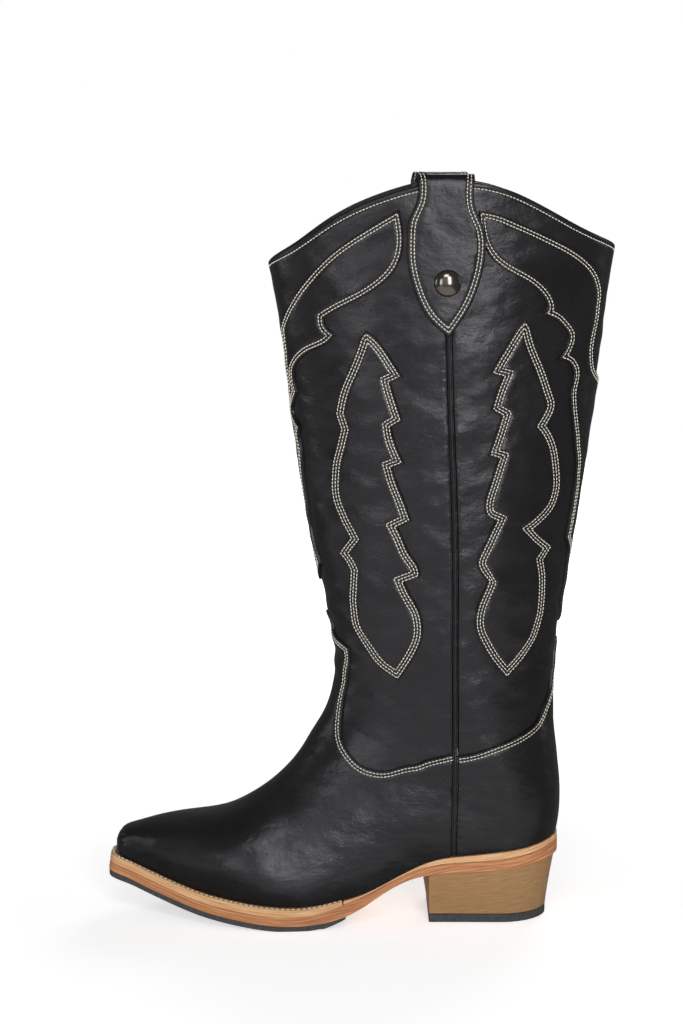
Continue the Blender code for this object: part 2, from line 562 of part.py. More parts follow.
def make_foot():
    vamp = joined([
        np.vstack([beside(0, VAMP_TONGUE), locate(VAMP_TOP[0])]),
        locate(VAMP_TOP[1]),
        seam_down(-SEAM_EDGE, 103.3)[1:],
        *hem_run(seam_foot(-SEAM_EDGE), 0),
    ])
    leather("vamp", across(up_the_toe(vamp), 0), COVER, BLACK)

    counter = joined([
        np.vstack([beside(1, [(0, COUNTER_TIP)]), locate(COUNTER_TOP[::-1])]),
        seam_down(SEAM_EDGE, 101.8)[1:],
        *hem_run(seam_foot(SEAM_EDGE), T_CORNER),
    ])
    leather("heel_counter_cover", across(up_the_heel(counter), 1), COVER, BLACK)

    puff_rear = beside(0, [(0, 55.5)])
    puff = joined([np.vstack([puff_rear, locate([(-108, 46), (-101, 34)])]),
                   *hem_run(t_under(-96), 0)])
    leather("toe_puff", across(up_the_toe(puff), 0), PANEL, BOARD)

    stiffener = joined([
        np.vstack([beside(1, [(0, UNDER_COUNTER_BACK - JOIN)]), locate(tucked(UNDER_COUNTER, SEAM_EDGE))]),
        seam_down(SEAM_EDGE, 84),
        *hem_run(seam_foot(SEAM_EDGE), T_CORNER),
    ])
    leather("heel_stiffener", across(up_the_heel(stiffener), 1), PANEL, BOARD)

    rear = beside(0, [(0, 56.2)])
    interlining = joined([
        np.vstack([beside(0, [(0, UNDER_VAMP_FRONT - JOIN)]), locate(tucked(UNDER_VAMP, -SEAM_EDGE))]),
        seam_down(-SEAM_EDGE, 84),
        *hem_run(seam_foot(-SEAM_EDGE), t_under(-95)),
        np.vstack([locate([(-99.8, 34), (-106.8, 46)]), rear]),
    ])
    leather("vamp_interlining", across(interlining, 0), PANEL, COTTON)

    vamp_lining = joined([
        np.vstack([beside(0, [(0, UNDER_VAMP_FRONT - JOIN)]), locate(tucked(UNDER_VAMP, -LINING_EDGE))]),
        seam_down(-LINING_EDGE, 84),
        *hem_run(seam_foot(-LINING_EDGE), 0),
    ])
    leather("vamp_lining", across(up_the_toe(vamp_lining), 0), LINING, LINING_TAN)

    heel_lining = joined([
        np.vstack([beside(1, [(0, UNDER_COUNTER_BACK - JOIN)]), locate(tucked(UNDER_COUNTER, LINING_EDGE))]),
        seam_down(LINING_EDGE, 84),
        *hem_run(seam_foot(LINING_EDGE), T_CORNER),
    ])
    leather("heel_lining", across(up_the_heel(heel_lining), 1), LINING, LINING_TAN)


def make_overlays():
    front = joined([
        beside(0, [(0, FRONT_V_END)] + FRONT_FLAME_V[::-1]),
        np.vstack([beside(0, FRONT_FLAME_V[:1]), locate(FRONT_FLAME_ABOVE[::-1] + [FRONT_FLAME_TIP])])[1:],
        *[locate(stretch) for stretch in FRONT_FLAME_BELOW],
        *[beside(0, stretch) for stretch in FRONT_TAIL],
        beside(0, [(0, FRONT_TAIL_END)]),
    ])
    leather("flame_overlay_front", across(front, 0), OVERLAY, BLACK)
    back = joined([
        np.vstack([beside(1, [(0, BACK_V_END)]), locate(BACK_FLAME_ABOVE[::-1] + [BACK_FLAME_TIP])]),
        *[locate(stretch) for stretch in BACK_FLAME_BELOW],
        np.vstack([beside(1, BACK_TAIL), beside(1, [(0, BACK_TAIL_END)])]),
    ])
    leather("flame_overlay_back", across(back, 1), OVERLAY, BLACK)
    for name, stretches in (("feather_overlay_front", FRONT_FEATHER), ("feather_overlay_rear", REAR_FEATHER)):
        outline = grown(joined([locate(stretch) for stretch in stretches])[:-1], FEATHER_EDGE)
        leather(name + "_outer", outline, OVERLAY, BLACK)
        leather(name + "_inner", on_inner(outline), OVERLAY, BLACK)


def make_piping(name, side):
    """The bead sewn into a side seam, from under the pull strap down to the welt."""
    keep = [0, 1, 2, 3, 4, 5, *range(6, 26, 2), -1]
    heights = np.array([z for _, z in seam_run(0, 366, 44.5)])[keep]
    top = np.interp(heights, [99, 106], [PIPING_TOP_AT_VAMP, PIPING_TOP])
    half = PIPING_WIDTH / 2
    rings = []
    for shift, low in ((-half, True), (-half, False), (-0.5 * half, None), (0.5 * half, None), (half, False),
                       (half, True)):
        places = locate(seam_run(shift, 366, 44.5))[keep]
        if side == INNER:
            places[:, 0] = 2 * GIRTH - places[:, 0]
        level = {True: np.full(len(heights), PANEL[0] + 0.3), False: top - 0.5, None: top}[low]
        rings.append(lifted(places, level[:, None]))
    rings = np.array(rings)
    count, length = len(rings), len(heights)
    index = np.arange(count * length).reshape(count, length)
    faces = []
    for i in range(count):
        j = (i + 1) % count
        faces += [(index[i, k], index[i, k + 1], index[j, k + 1], index[j, k]) for k in range(length - 1)]
    faces += [tuple(index[::-1, -1]), tuple(index[:, 0])]
    if side == INNER:
        faces = [f[::-1] for f in faces]
    make(name, rings.reshape(-1, 3), faces, BLACK)


def strap_lift(side):
    """Height over the middle of a strap that runs up the outside, over the rim and down inside the shaft."""
    def lift(flat, height):
        x, run = flat.T
        turn = np.clip(run / STRAP_BEND, 0, math.pi)
        z = STRAP_TOP + np.minimum(run, 0) - np.maximum(run - math.pi * STRAP_BEND, 0)
        places = locate(np.stack([x, z], axis=1))
        if side == INNER:
            places[:, 0] = 2 * GIRTH - places[:, 0]
        base = lifted(places, 0)
        normal = lifted(places, 1) - base
        reach = STRAP_BEND + height
        point = base + normal * (STRAP_MIDDLE + reach * np.cos(turn))[:, None]
        point[:, 2] += reach * np.sin(turn)
        return point
    return lift


def circle(centre, radius, sides=10):
    angles = np.arange(sides) * 2 * math.pi / sides
    return np.stack([centre[0] + radius * np.cos(angles), centre[1] + radius * np.sin(angles)], axis=1)


def make_strap(name, side):
    over = math.pi * STRAP_BEND
    left, right, foot = STRAP_INSIDE
    outside = [(x, z - STRAP_TOP) for x, z in STRAP_LEFT]
    down = [(x, z - STRAP_TOP) for x, z in STRAP_RIGHT]
    inside = [(left, over), (left, over + STRAP_TOP - foot)]
    inside_right = [(right, over + STRAP_TOP - foot), (right, over)]
    outline = joined([outside, inside[:1], inside[1:], inside_right[:1], inside_right[1:], down[:1], down[1:]])[:-1]
    outer_hole = circle((STUD[0], STUD[1] - STRAP_TOP), POST_HOLE)
    inner_hole = circle((STUD[0], over + STRAP_TOP - STUD[1]), POST_HOLE)
    rows = np.concatenate([np.arange(-84, 0, 14), np.linspace(0, over, 7), np.arange(over + 14, over + 60, 14)])
    flat, faces = tessellated([outline, outer_hole, inner_hole], np.arange(32, 71, 9.0), rows)
    half = STRAP_THICK / 2
    slab(name, flat, faces, strap_lift(side), (-half, half), BLACK, turned=side == INNER)


def turned_on(name, side, profile, finish, sides=16):
    """A turned piece on the stud's axis. Its profile is radius and height over the surface."""
    places = locate([STUD])
    if side == INNER:
        places[:, 0] = 2 * GIRTH - places[:, 0]
    base = lifted(places, 0)[0]
    axis = Vector(lifted(places, 1)[0] - base)
    work = bmesh.new()
    points = [work.verts.new((radius, 0, height)) for radius, height in profile]
    ring = [work.edges.new(pair) for pair in zip(points, points[1:])]
    if profile[0][0] > 0:
        ring.append(work.edges.new((points[-1], points[0])))
    bmesh.ops.spin(work, geom=points + ring, cent=(0, 0, 0), axis=(0, 0, 1), angle=2 * math.pi, steps=sides)
    bmesh.ops.remove_doubles(work, verts=work.verts, dist=0.01)
    bmesh.ops.recalc_face_normals(work, faces=work.faces)
    turn = axis.to_track_quat("Z", "Y").to_matrix().to_4x4()
    bmesh.ops.transform(work, matrix=Matrix.Translation(Vector(base)) @ turn, verts=work.verts)
    points = [tuple(v.co) for v in work.verts]
    work.verts.index_update()
    faces = [[v.index for v in f.verts] for f in work.faces]
    work.free()
    return make(name, points, faces, finish)


def make_stud(end, side):
    outside = STRAP_MIDDLE + STRAP_BEND + STRAP_THICK / 2 + 0.3
    inside = STRAP_MIDDLE - STRAP_BEND - STRAP_THICK / 2 - 0.3
    tip = inside - BURR_THICK - 0.4
    dome = [(STUD_RADIUS * math.sin(g), outside + 0.9 + STUD_DOME * math.cos(g))
            for g in np.linspace(0, math.radians(78), 6)]
    dome[0] = (0, dome[0][1])
    foot = [(STUD_RADIUS + 0.1, outside + 0.9), (STUD_RADIUS + 0.1, outside), (POST_RADIUS, outside),
            (POST_RADIUS, tip), (0, tip)]
    turned_on("stud_" + end, side, dome + foot, GUNMETAL)
    hole = POST_RADIUS + 0.3
    burr = [(hole, inside), (BURR_RADIUS, inside), (BURR_RADIUS, inside - BURR_THICK), (hole, inside - BURR_THICK)]
    turned_on("stud_burr_" + end, side, burr, STEEL, sides=12)


HEM_HALF = [(x, half * hem) for x, half, hem in
            zip(PLAN_REAR[:12, 0], PLAN[:12, 3], np.minimum(PLAN[:12, 5], 1))] + [(HEEL_X + 5, 31.4 * 0.95)]
HEM_SHIFT = [(x, shift) for x, shift in zip(PLAN_REAR[:12, 0], PLAN[:12, 7])] + [(HEEL_X + 5, 0.0)]


def sole_edge(x, inset, side):
    """The y of the footprint's edge, moved inwards by inset."""
    x = np.asarray(x, float).ravel()
    inset = np.broadcast_to(np.asarray(inset, float), x.shape)
    half = curve(HEM_HALF, x)
    slope = curve(HEM_HALF, x + 0.5) - curve(HEM_HALF, x - 0.5)
    half = half - inset * np.sqrt(1 + slope**2)
    reach = np.maximum(TOE_ROUND - 0.8 * inset, 0.8)
    toe = (1 - (1 - np.clip((x - TOE_X - inset) / reach, 0, 1)) ** TOE_POWER) ** (1 / TOE_POWER)
    v = 1 - np.clip((HEEL_X - inset - x) / (HEEL_ROUND - inset), 0, 1)
    return curve(HEM_SHIFT, x) + side * half * toe * np.sqrt(np.maximum(1 - v * v, 0))


def stations(start, end, toe_end, heel_end, step=9.0):
    """Values of x between two ends, closer together at a rounded end."""
    count = max(3, int((end - start) / step))
    x = np.linspace(start, end, count)
    if toe_end:
        x = np.concatenate([start + np.array([0, 0.4, 1.6, 4.0, 8.0]), x[x > start + 10]])
    if heel_end:
        x = np.concatenate([x[x < end - 22], end - np.array([18, 13, 8.5, 4.5, 1.8, 0.4, 0])])
    return x


def outset(x):
    return -curve(OUTSET, x)


def plate(name, x, inset, top, under_side, finish):
    """A sole piece that fills the footprint between two surfaces."""
    rows = []
    for side in (OUTER, INNER):
        y = sole_edge(x, inset, side)
        rows += [np.stack([x, y, top], axis=1), np.stack([x, y, under_side], axis=1)]
    return ladder(name, rows[0], rows[1], rows[2], rows[3], finish)


def ladder(name, outer_top, outer_low, inner_top, inner_low, finish):
    """A closed strip with four corners at each rung. Corners that meet are made one."""
    count = len(outer_top)
    points = np.vstack([outer_top, outer_low, inner_low, inner_top])
    _, first, same = np.unique(np.round(points, 3), axis=0, return_index=True, return_inverse=True)
    index = same.reshape(4, count)
    faces = []
    for i in range(4):
        j = (i + 1) % 4
        faces += [(index[i, k], index[j, k], index[j, k + 1], index[i, k + 1]) for k in range(count - 1)]
    faces += [tuple(index[:, -1]), tuple(index[::-1, 0])]
    clean = []
    for face in faces:
        kept = [v for n, v in enumerate(face) if v != face[n - 1]]
        if len(set(kept)) > 2:
            clean.append(kept)
    obj = make(name, points[first], clean, finish)
    work = bmesh.new()
    work.from_mesh(obj.data)
    bmesh.ops.recalc_face_normals(work, faces=work.faces)
    work.to_mesh(obj.data)
    work.free()
    return obj


def band(name, x_outside, x_inside, outer_inset, inner_inset, top, under_side, finish):
    """A strip round the toe or the heel. Both runs of x go from its open ends to its middle."""
    runs = []
    for x, inset in ((x_outside, outer_inset), (x_inside, inner_inset)):
        near = np.stack([x, sole_edge(x, inset(x), OUTER), x], axis=1)
        far = np.stack([x, sole_edge(x, inset(x), INNER), x], axis=1)[::-1]
        runs.append(np.vstack([near, far[1:]]))
    rows = []
    for run in runs:
        for level in (top, under_side):
            row = run.copy()
            row[:, 2] = level(run[:, 0])
            rows.append(row)
    return ladder(name, rows[0], rows[1], rows[2], rows[3], finish)


def feather(x):
    return curve(FEATHER, x)


def edge_top(x):
    return feather(x) - 0.45 - 0.5 * np.clip((x - 98) / 12, 0, 1)


def edge_under(x):
    return edge_top(x) - curve(EDGE_LAYER, x)


def midsole_top(x):
    return edge_under(x) - 0.35 - 0.25 * np.clip((-128 - x) / 8, 0, 1)


def midsole_under(x):
    return curve(MIDSOLE_UNDER, x)


def insole_top(x):
    return feather(x) + 0.3 + INSOLE_THICK


def make_welt_and_rand():
    toe_out, toe_in = TOE_X - 5.0, TOE_X + WELT_INSIDE
    x_out = stations(toe_out, WELT_END, True, False)[::-1]
    x_in = toe_in + (x_out - toe_out) * (WELT_END - toe_in) / (WELT_END - toe_out)
    band("welt", x_out, x_in, lambda x: outset(x) - 0.2, lambda x: np.full(len(x), WELT_INSIDE), edge_top, edge_under,
         WELT_TAN)
    start, back_out, back_in = WELT_END + 0.6, HEEL_X + 2.6, HEEL_X - RAND_INSIDE
    x_out = stations(start, back_out, False, True)
    x_in = start + (x_out - start) * (back_in - start) / (back_out - start)
    band("heel_rand", x_out, x_in, lambda x: outset(x) + 0.2, lambda x: np.full(len(x), RAND_INSIDE), edge_top,
         edge_under, WELT_TAN)


def make_soles():
    x = stations(TOE_X - 4.8, HEEL_X + 2.8, True, True)
    plate("midsole", x, outset(x), midsole_top(x), midsole_under(x), SOLE_BROWN)
    x = stations(TOE_X - 4.6, RUBBER_END, True, False, 9.0)
    bottom = np.maximum(feather(x) - 13.9, 0.0)
    top = midsole_under(x) - 0.3
    bottom = np.where(x > -20, np.minimum(np.maximum(midsole_under(x) - 3.4 + (x + 20) * 0.15, 0), top - 0.8), bottom)
    plate("outsole_rubber", x, outset(x) + 0.2, top, bottom, RUBBER)
    x = stations(TOE_X + INSOLE_INSET, HEEL_X - INSOLE_INSET, True, True)
    plate("insole_board", x, INSOLE_INSET, insole_top(x), feather(x) + 0.3, BOARD)
    low = insole_top(x) + 1.9
    plate("sock_liner", x, INSOLE_INSET, low + SOCK_THICK, low, LINING_TAN)
    x = stations(TOE_X + WELT_INSIDE + 0.6, SHANK_ENDS[0] - 1.0, True, False)
    plate("cork_filler", x, WELT_INSIDE + 0.6, feather(x) - 0.1, midsole_top(x) + 0.3, CORK)
    x = stations(SHANK_ENDS[1] + 2.0, HEEL_X - RAND_INSIDE - 0.6, False, True)
    plate("heel_seat_filler", x, RAND_INSIDE + 0.6, feather(x) - 0.1, midsole_top(x) + 0.3, BOARD)
    x = np.linspace(*SHANK_ENDS, 9)
    rows = [np.stack([x, np.full(9, y), feather(x) - 0.2 - z], axis=1)
            for y in (-SHANK_WIDTH / 2 - 1.0, SHANK_WIDTH / 2 - 1.0) for z in (0, SHANK_THICK)]
    ladder("shank", rows[0], rows[1], rows[2], rows[3], STEEL)


def heel_points(level, z):
    """Rungs of the heel's outline, from the breast to the back. Level is 0 at the floor and 1 at the seat."""
    top_back = HEEL_X + 1.2
    back = HEEL_BACK_X + (top_back - HEEL_BACK_X) * level**1.3
    seat_x = stations(BREAST_X, top_back, False, True)
    part = (seat_x - BREAST_X) / (top_back - BREAST_X)
    x = BREAST_X + (back - BREAST_X) * part
    width = HEEL_TAPER + (1 - HEEL_TAPER) * level
    centre = curve(HEM_SHIFT, seat_x)
    rungs = []
    for side in (OUTER, 0, INNER):
        y = centre + (sole_edge(seat_x, -1.2, side) - centre) * width if side else centre
        bulge = np.zeros(len(x))
        if not side:
            bulge[0] = BREAST_BULGE * level
        rungs.append(np.stack([x - bulge, y, z(x - bulge)], axis=1))
    return np.array(rungs)


def heel_solid(name, levels, finish):
    """A solid from the heel's outline at several levels, lowest first."""
    rings = np.array([heel_points(level, z) for level, z in levels])
    layers, _, count = rings.shape[:3]
    points = rings.reshape(-1, 3)
    _, first, same = np.unique(np.round(points, 3), axis=0, return_index=True, return_inverse=True)
    index = same.reshape(layers, 3, count)
    faces = []
    for k in range(count - 1):
        for i in range(2):
            faces.append((index[-1, i, k], index[-1, i, k + 1], index[-1, i + 1, k + 1], index[-1, i + 1, k]))
            faces.append((index[0, i, k], index[0, i + 1, k], index[0, i + 1, k + 1], index[0, i, k + 1]))
    for n in range(layers - 1):
        for i in (0, 2):
            faces += [(index[n, i, k], index[n, i, k + 1], index[n + 1, i, k + 1], index[n + 1, i, k])
                      for k in range(count - 1)]
        faces += [(index[n, i, 0], index[n + 1, i, 0], index[n + 1, i + 1, 0], index[n, i + 1, 0]) for i in range(2)]
    clean = []
    for face in faces:
        kept = [v for n, v in enumerate(face) if v != face[n - 1]]
        if len(set(kept)) > 2:
            clean.append(kept)
    obj = make(name, points[first], clean, finish)
    work = bmesh.new()
    work.from_mesh(obj.data)
    bmesh.ops.recalc_face_normals(work, faces=work.faces)
    work.to_mesh(obj.data)
    work.free()
    return obj


def make_heel():
    def level_at(part):
        return lambda x: (LIFT_THICK + 0.3) * (1 - part) + (midsole_under(x) - 0.35) * part
    heel_solid("heel_block", [(0.06 + 0.94 * part, level_at(part)) for part in (0, 0.5, 1)], STACKED)
    heel_solid("heel_top_lift", [(0.0, lambda x: np.zeros(len(x))), (0.05, lambda x: np.full(len(x), LIFT_THICK))],
               RUBBER)


def rod(x, y, low, high, radius, sides=8):
    angles = np.arange(sides) * 2 * math.pi / sides
    ring = np.stack([x + radius * np.cos(angles), y + radius * np.sin(angles)], axis=1)
    points = [(*p, low) for p in ring] + [(*p, high) for p in ring]
    faces = [tuple(range(sides))[::-1], tuple(range(sides, 2 * sides))]
    faces += [(i, (i + 1) % sides, (i + 1) % sides + sides, i + sides) for i in range(sides)]
    return points, faces


def make_nails():
    """Nails through the insole, filler and midsole into the heel, and the holes that they leave."""
    drilled = ["insole_board", "heel_seat_filler", "midsole", "heel_block"]
    for number, (x, y) in enumerate(NAILS, start=1):
        top = float(insole_top([x])[0]) + 0.6
        foot = float(midsole_under([x])[0]) - NAIL_DEPTH
        shank_points, _ = rod(x, y, foot, top, NAIL_RADIUS)
        head_points, _ = rod(x, y, top, top + 0.6, NAIL_HEAD)
        sides = 8
        rings = [shank_points[:sides], shank_points[sides:], head_points[:sides], head_points[sides:]]
        faces = [tuple(range(sides))[::-1], tuple(range(3 * sides, 4 * sides))]
        for level in range(3):
            base = level * sides
            faces += [(base + i, base + (i + 1) % sides, base + (i + 1) % sides + sides, base + i + sides)
                      for i in range(sides)]
        make(f"heel_nail_{number}", [p for ring in rings for p in ring], faces, STEEL)
        points, faces = rod(x, y, foot - 0.5, top + 5, NAIL_RADIUS + NAIL_CLEAR)
        drill = make(f"nail_hole_{number}", points, faces, STEEL)
        drill.hide_render = True
        drill.display_type = "WIRE"
        for name in drilled:
            cut = bpy.data.objects[name].modifiers.new(f"nail_{number}", "BOOLEAN")
            cut.operation = "DIFFERENCE"
            cut.solver = "EXACT"
            cut.object = drill


def stand_on_centre():
    """Move every piece so that the box round them all stands centred on the origin."""
    solids = [obj for obj in bpy.data.objects if not obj.hide_render]
    points = np.array([tuple(v.co) for obj in solids for v in obj.data.vertices])
    low, high = points.min(axis=0), points.max(axis=0)
    shift = Matrix.Translation((-(low[0] + high[0]) / 2, -(low[1] + high[1]) / 2, -low[2]))
    for obj in bpy.data.objects:
        obj.data.transform(shift)


def main():
    for obj in list(bpy.data.objects):
        bpy.data.objects.remove(obj, do_unlink=True)
    make_shaft()
    make_foot()
    make_overlays()
    for end, side in (("outer", OUTER), ("inner", INNER)):
        make_piping("side_seam_piping_" + end, side)
        make_strap("pull_strap_" + end, side)
        make_stud(end, side)
    make_welt_and_rand()
    make_soles()
    make_heel()
    make_nails()
    stand_on_centre()


main()
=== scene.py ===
"""Looks of the western boot: fine meshes, stitching, materials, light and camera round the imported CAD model.

The upper is rebuilt finely on the same lines plan as the CAD pieces. A place is u, how far round the leg, and
t, how far up it. Each leather is an outline between two heights over that surface. The outlines repeat the
tables of part.py: points traced on the photograph's visible side and turned into millimetres. Lengths are
millimetres until a mesh is made. Toe towards -X, outer side towards -Y.
"""
import math

import bmesh
import bpy
import numpy as np
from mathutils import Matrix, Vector
from mathutils.geometry import delaunay_2d_cdt
from mathutils.kdtree import KDTree


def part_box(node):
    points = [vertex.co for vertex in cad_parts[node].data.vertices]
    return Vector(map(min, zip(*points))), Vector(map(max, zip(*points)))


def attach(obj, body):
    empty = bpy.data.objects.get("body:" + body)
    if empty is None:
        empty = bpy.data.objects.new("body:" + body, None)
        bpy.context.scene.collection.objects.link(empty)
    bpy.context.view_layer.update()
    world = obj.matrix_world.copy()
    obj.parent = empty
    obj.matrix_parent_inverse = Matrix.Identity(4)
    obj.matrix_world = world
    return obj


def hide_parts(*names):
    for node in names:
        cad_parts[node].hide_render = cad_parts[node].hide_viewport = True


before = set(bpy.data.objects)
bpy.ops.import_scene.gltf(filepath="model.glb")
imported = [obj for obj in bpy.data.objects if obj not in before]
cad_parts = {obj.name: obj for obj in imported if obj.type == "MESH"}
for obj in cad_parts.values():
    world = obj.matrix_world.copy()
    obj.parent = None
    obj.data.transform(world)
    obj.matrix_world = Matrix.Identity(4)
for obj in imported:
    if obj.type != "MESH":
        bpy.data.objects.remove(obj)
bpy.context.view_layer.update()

MM = 0.001

OUTER, INNER = -1, 1
LINING = (-3.6, -2.55)
PANEL = (-2.0, 0.0)
COVER = (0.75, 1.95)
OVERLAY = (0.4, 1.6)
SUNK = -0.25
PIPING_TOP, PIPING_TOP_AT_VAMP, PIPING_WIDTH = 1.1, 2.5, 1.5
SEAM_EDGE = 1.4
LINING_EDGE = 0.3
TOE_X, TOE_ROUND, TOE_POWER = -142.2, 6.0, 2.5
HEEL_X, HEEL_Z, HEEL_ROUND = 116.3, 50.5, 29.0
SHAFT_TOP = 445.0
GIRTH = 120.0
SLIT = 0.5
WELT_END, WELT_INSIDE, RAND_INSIDE = -9.0, 6.5, 9.0
RUBBER_END = -7.0
BREAST_X, BREAST_BULGE = 42.0, 4.0
HEEL_BACK_X, HEEL_TAPER = 112.2, 0.86
LIFT_THICK = 5.0
TOE_FLARE = 1.6
STRAP_THICK, STRAP_BEND, STRAP_MIDDLE, STRAP_TOP = 2.0, 4.15, -1.05, 432.7
STRAP_LEFT = [(51.4, 346.4), (39.6, 357.4), (31.3, 374.6), (28.2, 388.1), (27.8, 401.5), (29.1, 413.3),
              (33.2, 423.3), (33.8, 432.9)]
STRAP_RIGHT = [(64.7, 432.9), (65.1, 420.0), (70.0, 407.7), (71.1, 394.2), (68.2, 378.0), (62.9, 364.2),
               (51.4, 346.4)]
STRAP_INSIDE = (31.0, 66.0, 371.0)
STUD = (50.2, 377.0)
STUD_RADIUS, STUD_DOME, POST_RADIUS, POST_HOLE = 7.6, 3.4, 1.2, 1.9
FEATHER = [(-148, 36.2), (-142.2, 35.2), (-137.5, 33.9), (-129, 31.1), (-112, 25.7), (-93, 20.3),
           (-72, 16.6), (-50, 14.1), (-27, 14.0), (-10, 16.8), (0, 18.8), (16, 25.6), (27, 31.4),
           (42, 38.2), (64, 42.2),
           (84, 44.4), (98, 46.6), (110, 49.2), (116.3, 50.5), (121, 51.2)]
BACK = [(HEEL_Z, HEEL_X), (58, 117.6), (68, 118.4), (80, 118.2), (90, 117.3), (103, 115.9), (118, 114.6),
        (133, 114.6), (150, 115.6), (175, 118.2), (203, 121.8), (232, 125.8), (268, 131.2), (317, 138.2),
        (345, 141.4), (373, 144.8), (400, 149.3), (SHAFT_TOP, 157)]
SIDE_SEAM = [(30, 55.6), (42, 55.9), (76, 56.7), (154, 56.4), (225, 55.8), (271, 54.3), (311, 52.6),
             (346, 51.5), (377, 50.4), (SHAFT_TOP, 50.2)]
MIDSOLE_UNDER = [(-152, 26.2), (-142.2, 25.0), (-137.5, 23.6), (-129, 20.4), (-112, 15.1), (-93, 9.7),
                 (-72, 6.0), (-50, 3.4), (-27, 3.3), (-16, 4.6), (-8, 6.6), (2.5, 11.1), (15.5, 19.2),
                 (25, 24.6),
                 (33, 27.8), (42, 30.0), (64, 32.0), (84, 33.8), (100, 36.0), (122, 39.0)]
EDGE_LAYER = [(-150, 4.4), (-30, 4.4), (-18, 3.8), (-8, 2.4), (2, 1.3), (12, 1.2), (28, 1.3), (42, 2.6),
              (56, 3.5), (120, 3.6)]
OUTSET = [(-150, 4.8), (-25, 4.7), (-8, 3.4), (5, 1.8), (30, 1.6), (48, 2.6), (120, 2.8)]


def under(x):
    """A section's rear end on the feather line."""
    return x - TOE_X


def behind(z):
    """A section's rear end on the back line."""
    return HEEL_X - TOE_X + z - HEEL_Z


SECTIONS = [
    (-142.2, 42.5, under(-142.2), 11.0, 0.75, 0.97, 0.30, 4.5, 0.5, 29),
    (-139.5, 47.3, under(-137.5), 12.0, 0.75, 0.97, 0.30, 4.5, 0.5, 29),
    (-133.5, 50.3, under(-129.0), 15.5, 0.75, 0.97, 0.30, 4.2, 0.5, 29),
    (-120.0, 54.0, under(-112.0), 23.5, 0.75, 0.97, 0.28, 3.2, 0.5, 29),
    (-105.0, 57.0, under(-93.0), 31.2, 0.75, 0.97, 0.25, 2.0, 0.5, 29),
    (-90.0, 59.0, under(-72.0), 37.5, 0.75, 0.97, 0.22, 0.5, 0.52, 29),
    (-76.5, 62.4, under(-50.0), 40.5, 0.76, 0.97, 0.18, -1.0, 0.56, 29),
    (-63.3, 69.3, under(-27.0), 38.8, 0.77, 0.96, 0.12, -2.0, 0.62, 29),
    (-50.6, 78.2, under(0.0), 35.0, 0.75, 0.90, 0.08, -2.5, 0.7, 29),
    (-35.9, 92.8, under(35.0), 32.4, 0.66, 0.87, 0.06, -1.8, 0.79, 29),
    (-26.3, 107.7, under(78.0), 31.4, 0.58, 0.93, 0.06, -0.8, 0.87, 29),
    (-18.0, 122.3, under(110.0), 31.4, 0.54, 0.95, 0.08, -0.2, 0.94, 29),
    (-14.0, 134.5, behind(68.0), 31.8, 0.52, 0.95, 0.12, 0.0, 0.99, 34),
    (-12.3, 147.0, behind(90.0), 32.3, 0.52, 0.95, 0.12, 0.0, 1.0, 46),
    (-12.6, 160.0, behind(118.0), 33.2, 0.52, 0.95, 0.10, 0.0, 1.0, 58),
    (-17.2, 183.0, behind(150.0), 34.5, 0.51, 0.95, 0.08, 0.0, 1.0, 64),
    (-24.0, 214.0, behind(185.0), 36.0, 0.50, 0.95, 0.05, 0.0, 1.0, 70),
    (-30.6, 252.0, behind(223.0), 37.0, 0.50, 0.95, 0.03, 0.0, 1.0, 77),
    (-36.2, 291.0, behind(268.0), 38.0, 0.50, 0.95, 0.03, 0.0, 1.0, 83),
    (-42.0, 330.0, behind(317.0), 39.0, 0.50, 0.95, 0.03, 0.0, 1.0, 90),
    (-47.8, 366.0, behind(364.0), 40.0, 0.50, 0.95, 0.03, 0.0, 1.0, 96),
    (-54.0, 400.0, behind(400.0), 40.5, 0.50, 0.95, 0.03, 0.0, 1.0, 101),
    (-61.0, 445.0, behind(445.0), 41.0, 0.50, 0.95, 0.03, 0.0, 1.0, 109),
]
RIM_FRONT = [(-38.8, 396.0), (-21.7, 408.0), (-7.5, 416.5), (13.8, 425.5), (29.4, 430.3), (42.0, 432.8)]
RIM_BACK = [(60.0, 433.4), (73.7, 431.8), (96.5, 423.8), (113.9, 414.7), (131.7, 405.4)]
RIM_CORNERS = (386.8, 396.2)
UNDER_VAMP = [(54.5, 91.5), (37.0, 86.0), (24.0, 82.0), (12.0, 80.0), (0.0, 83.5), (-10.0, 92.0),
              (-16.0, 98.0)]
UNDER_VAMP_FRONT = 104.5
UNDER_COUNTER = [(58.0, 90.0), (66.0, 91.0), (78.0, 95.5), (92.0, 100.5), (103.0, 106.5), (109.0, 114.0)]
UNDER_COUNTER_BACK = 126.0
VAMP_TONGUE = [(0.0, 182.5), (3.2, 177.0), (5.0, 171.5)]
VAMP_TOP = [[(-9.3, 166.6), (-4.0, 163.5)],
            [(-4.5, 152.0), (-6.2, 139.8), (-8.2, 127.7), (-9.2, 116.4), (-8.2, 107.2), (-3.6, 99.8),
             (3.5, 94.1), (11.9, 92.0), (22.1, 93.8), (36.0, 97.5), (55.3, 103.3)]]
COUNTER_TOP = [(57.9, 101.8), (66.0, 103.2), (77.5, 107.0), (91.1, 111.6), (100.0, 116.0), (105.4, 120.6),
               (109.2, 128.2), (113.0, 137.0)]
COUNTER_TIP = 166.5
FRONT_FLAME_TIP = (23.0, 417.8)
FRONT_FLAME_ABOVE = [(2.0, 405.3), (-14.3, 393.9), (-25.1, 383.0), (-34.0, 371.3), (-40.2, 359.7)]
FRONT_FLAME_V = [(9.0, 350.0), (8.0, 340.0), (6.5, 330.0), (5.0, 320.0), (3.2, 311.0)]
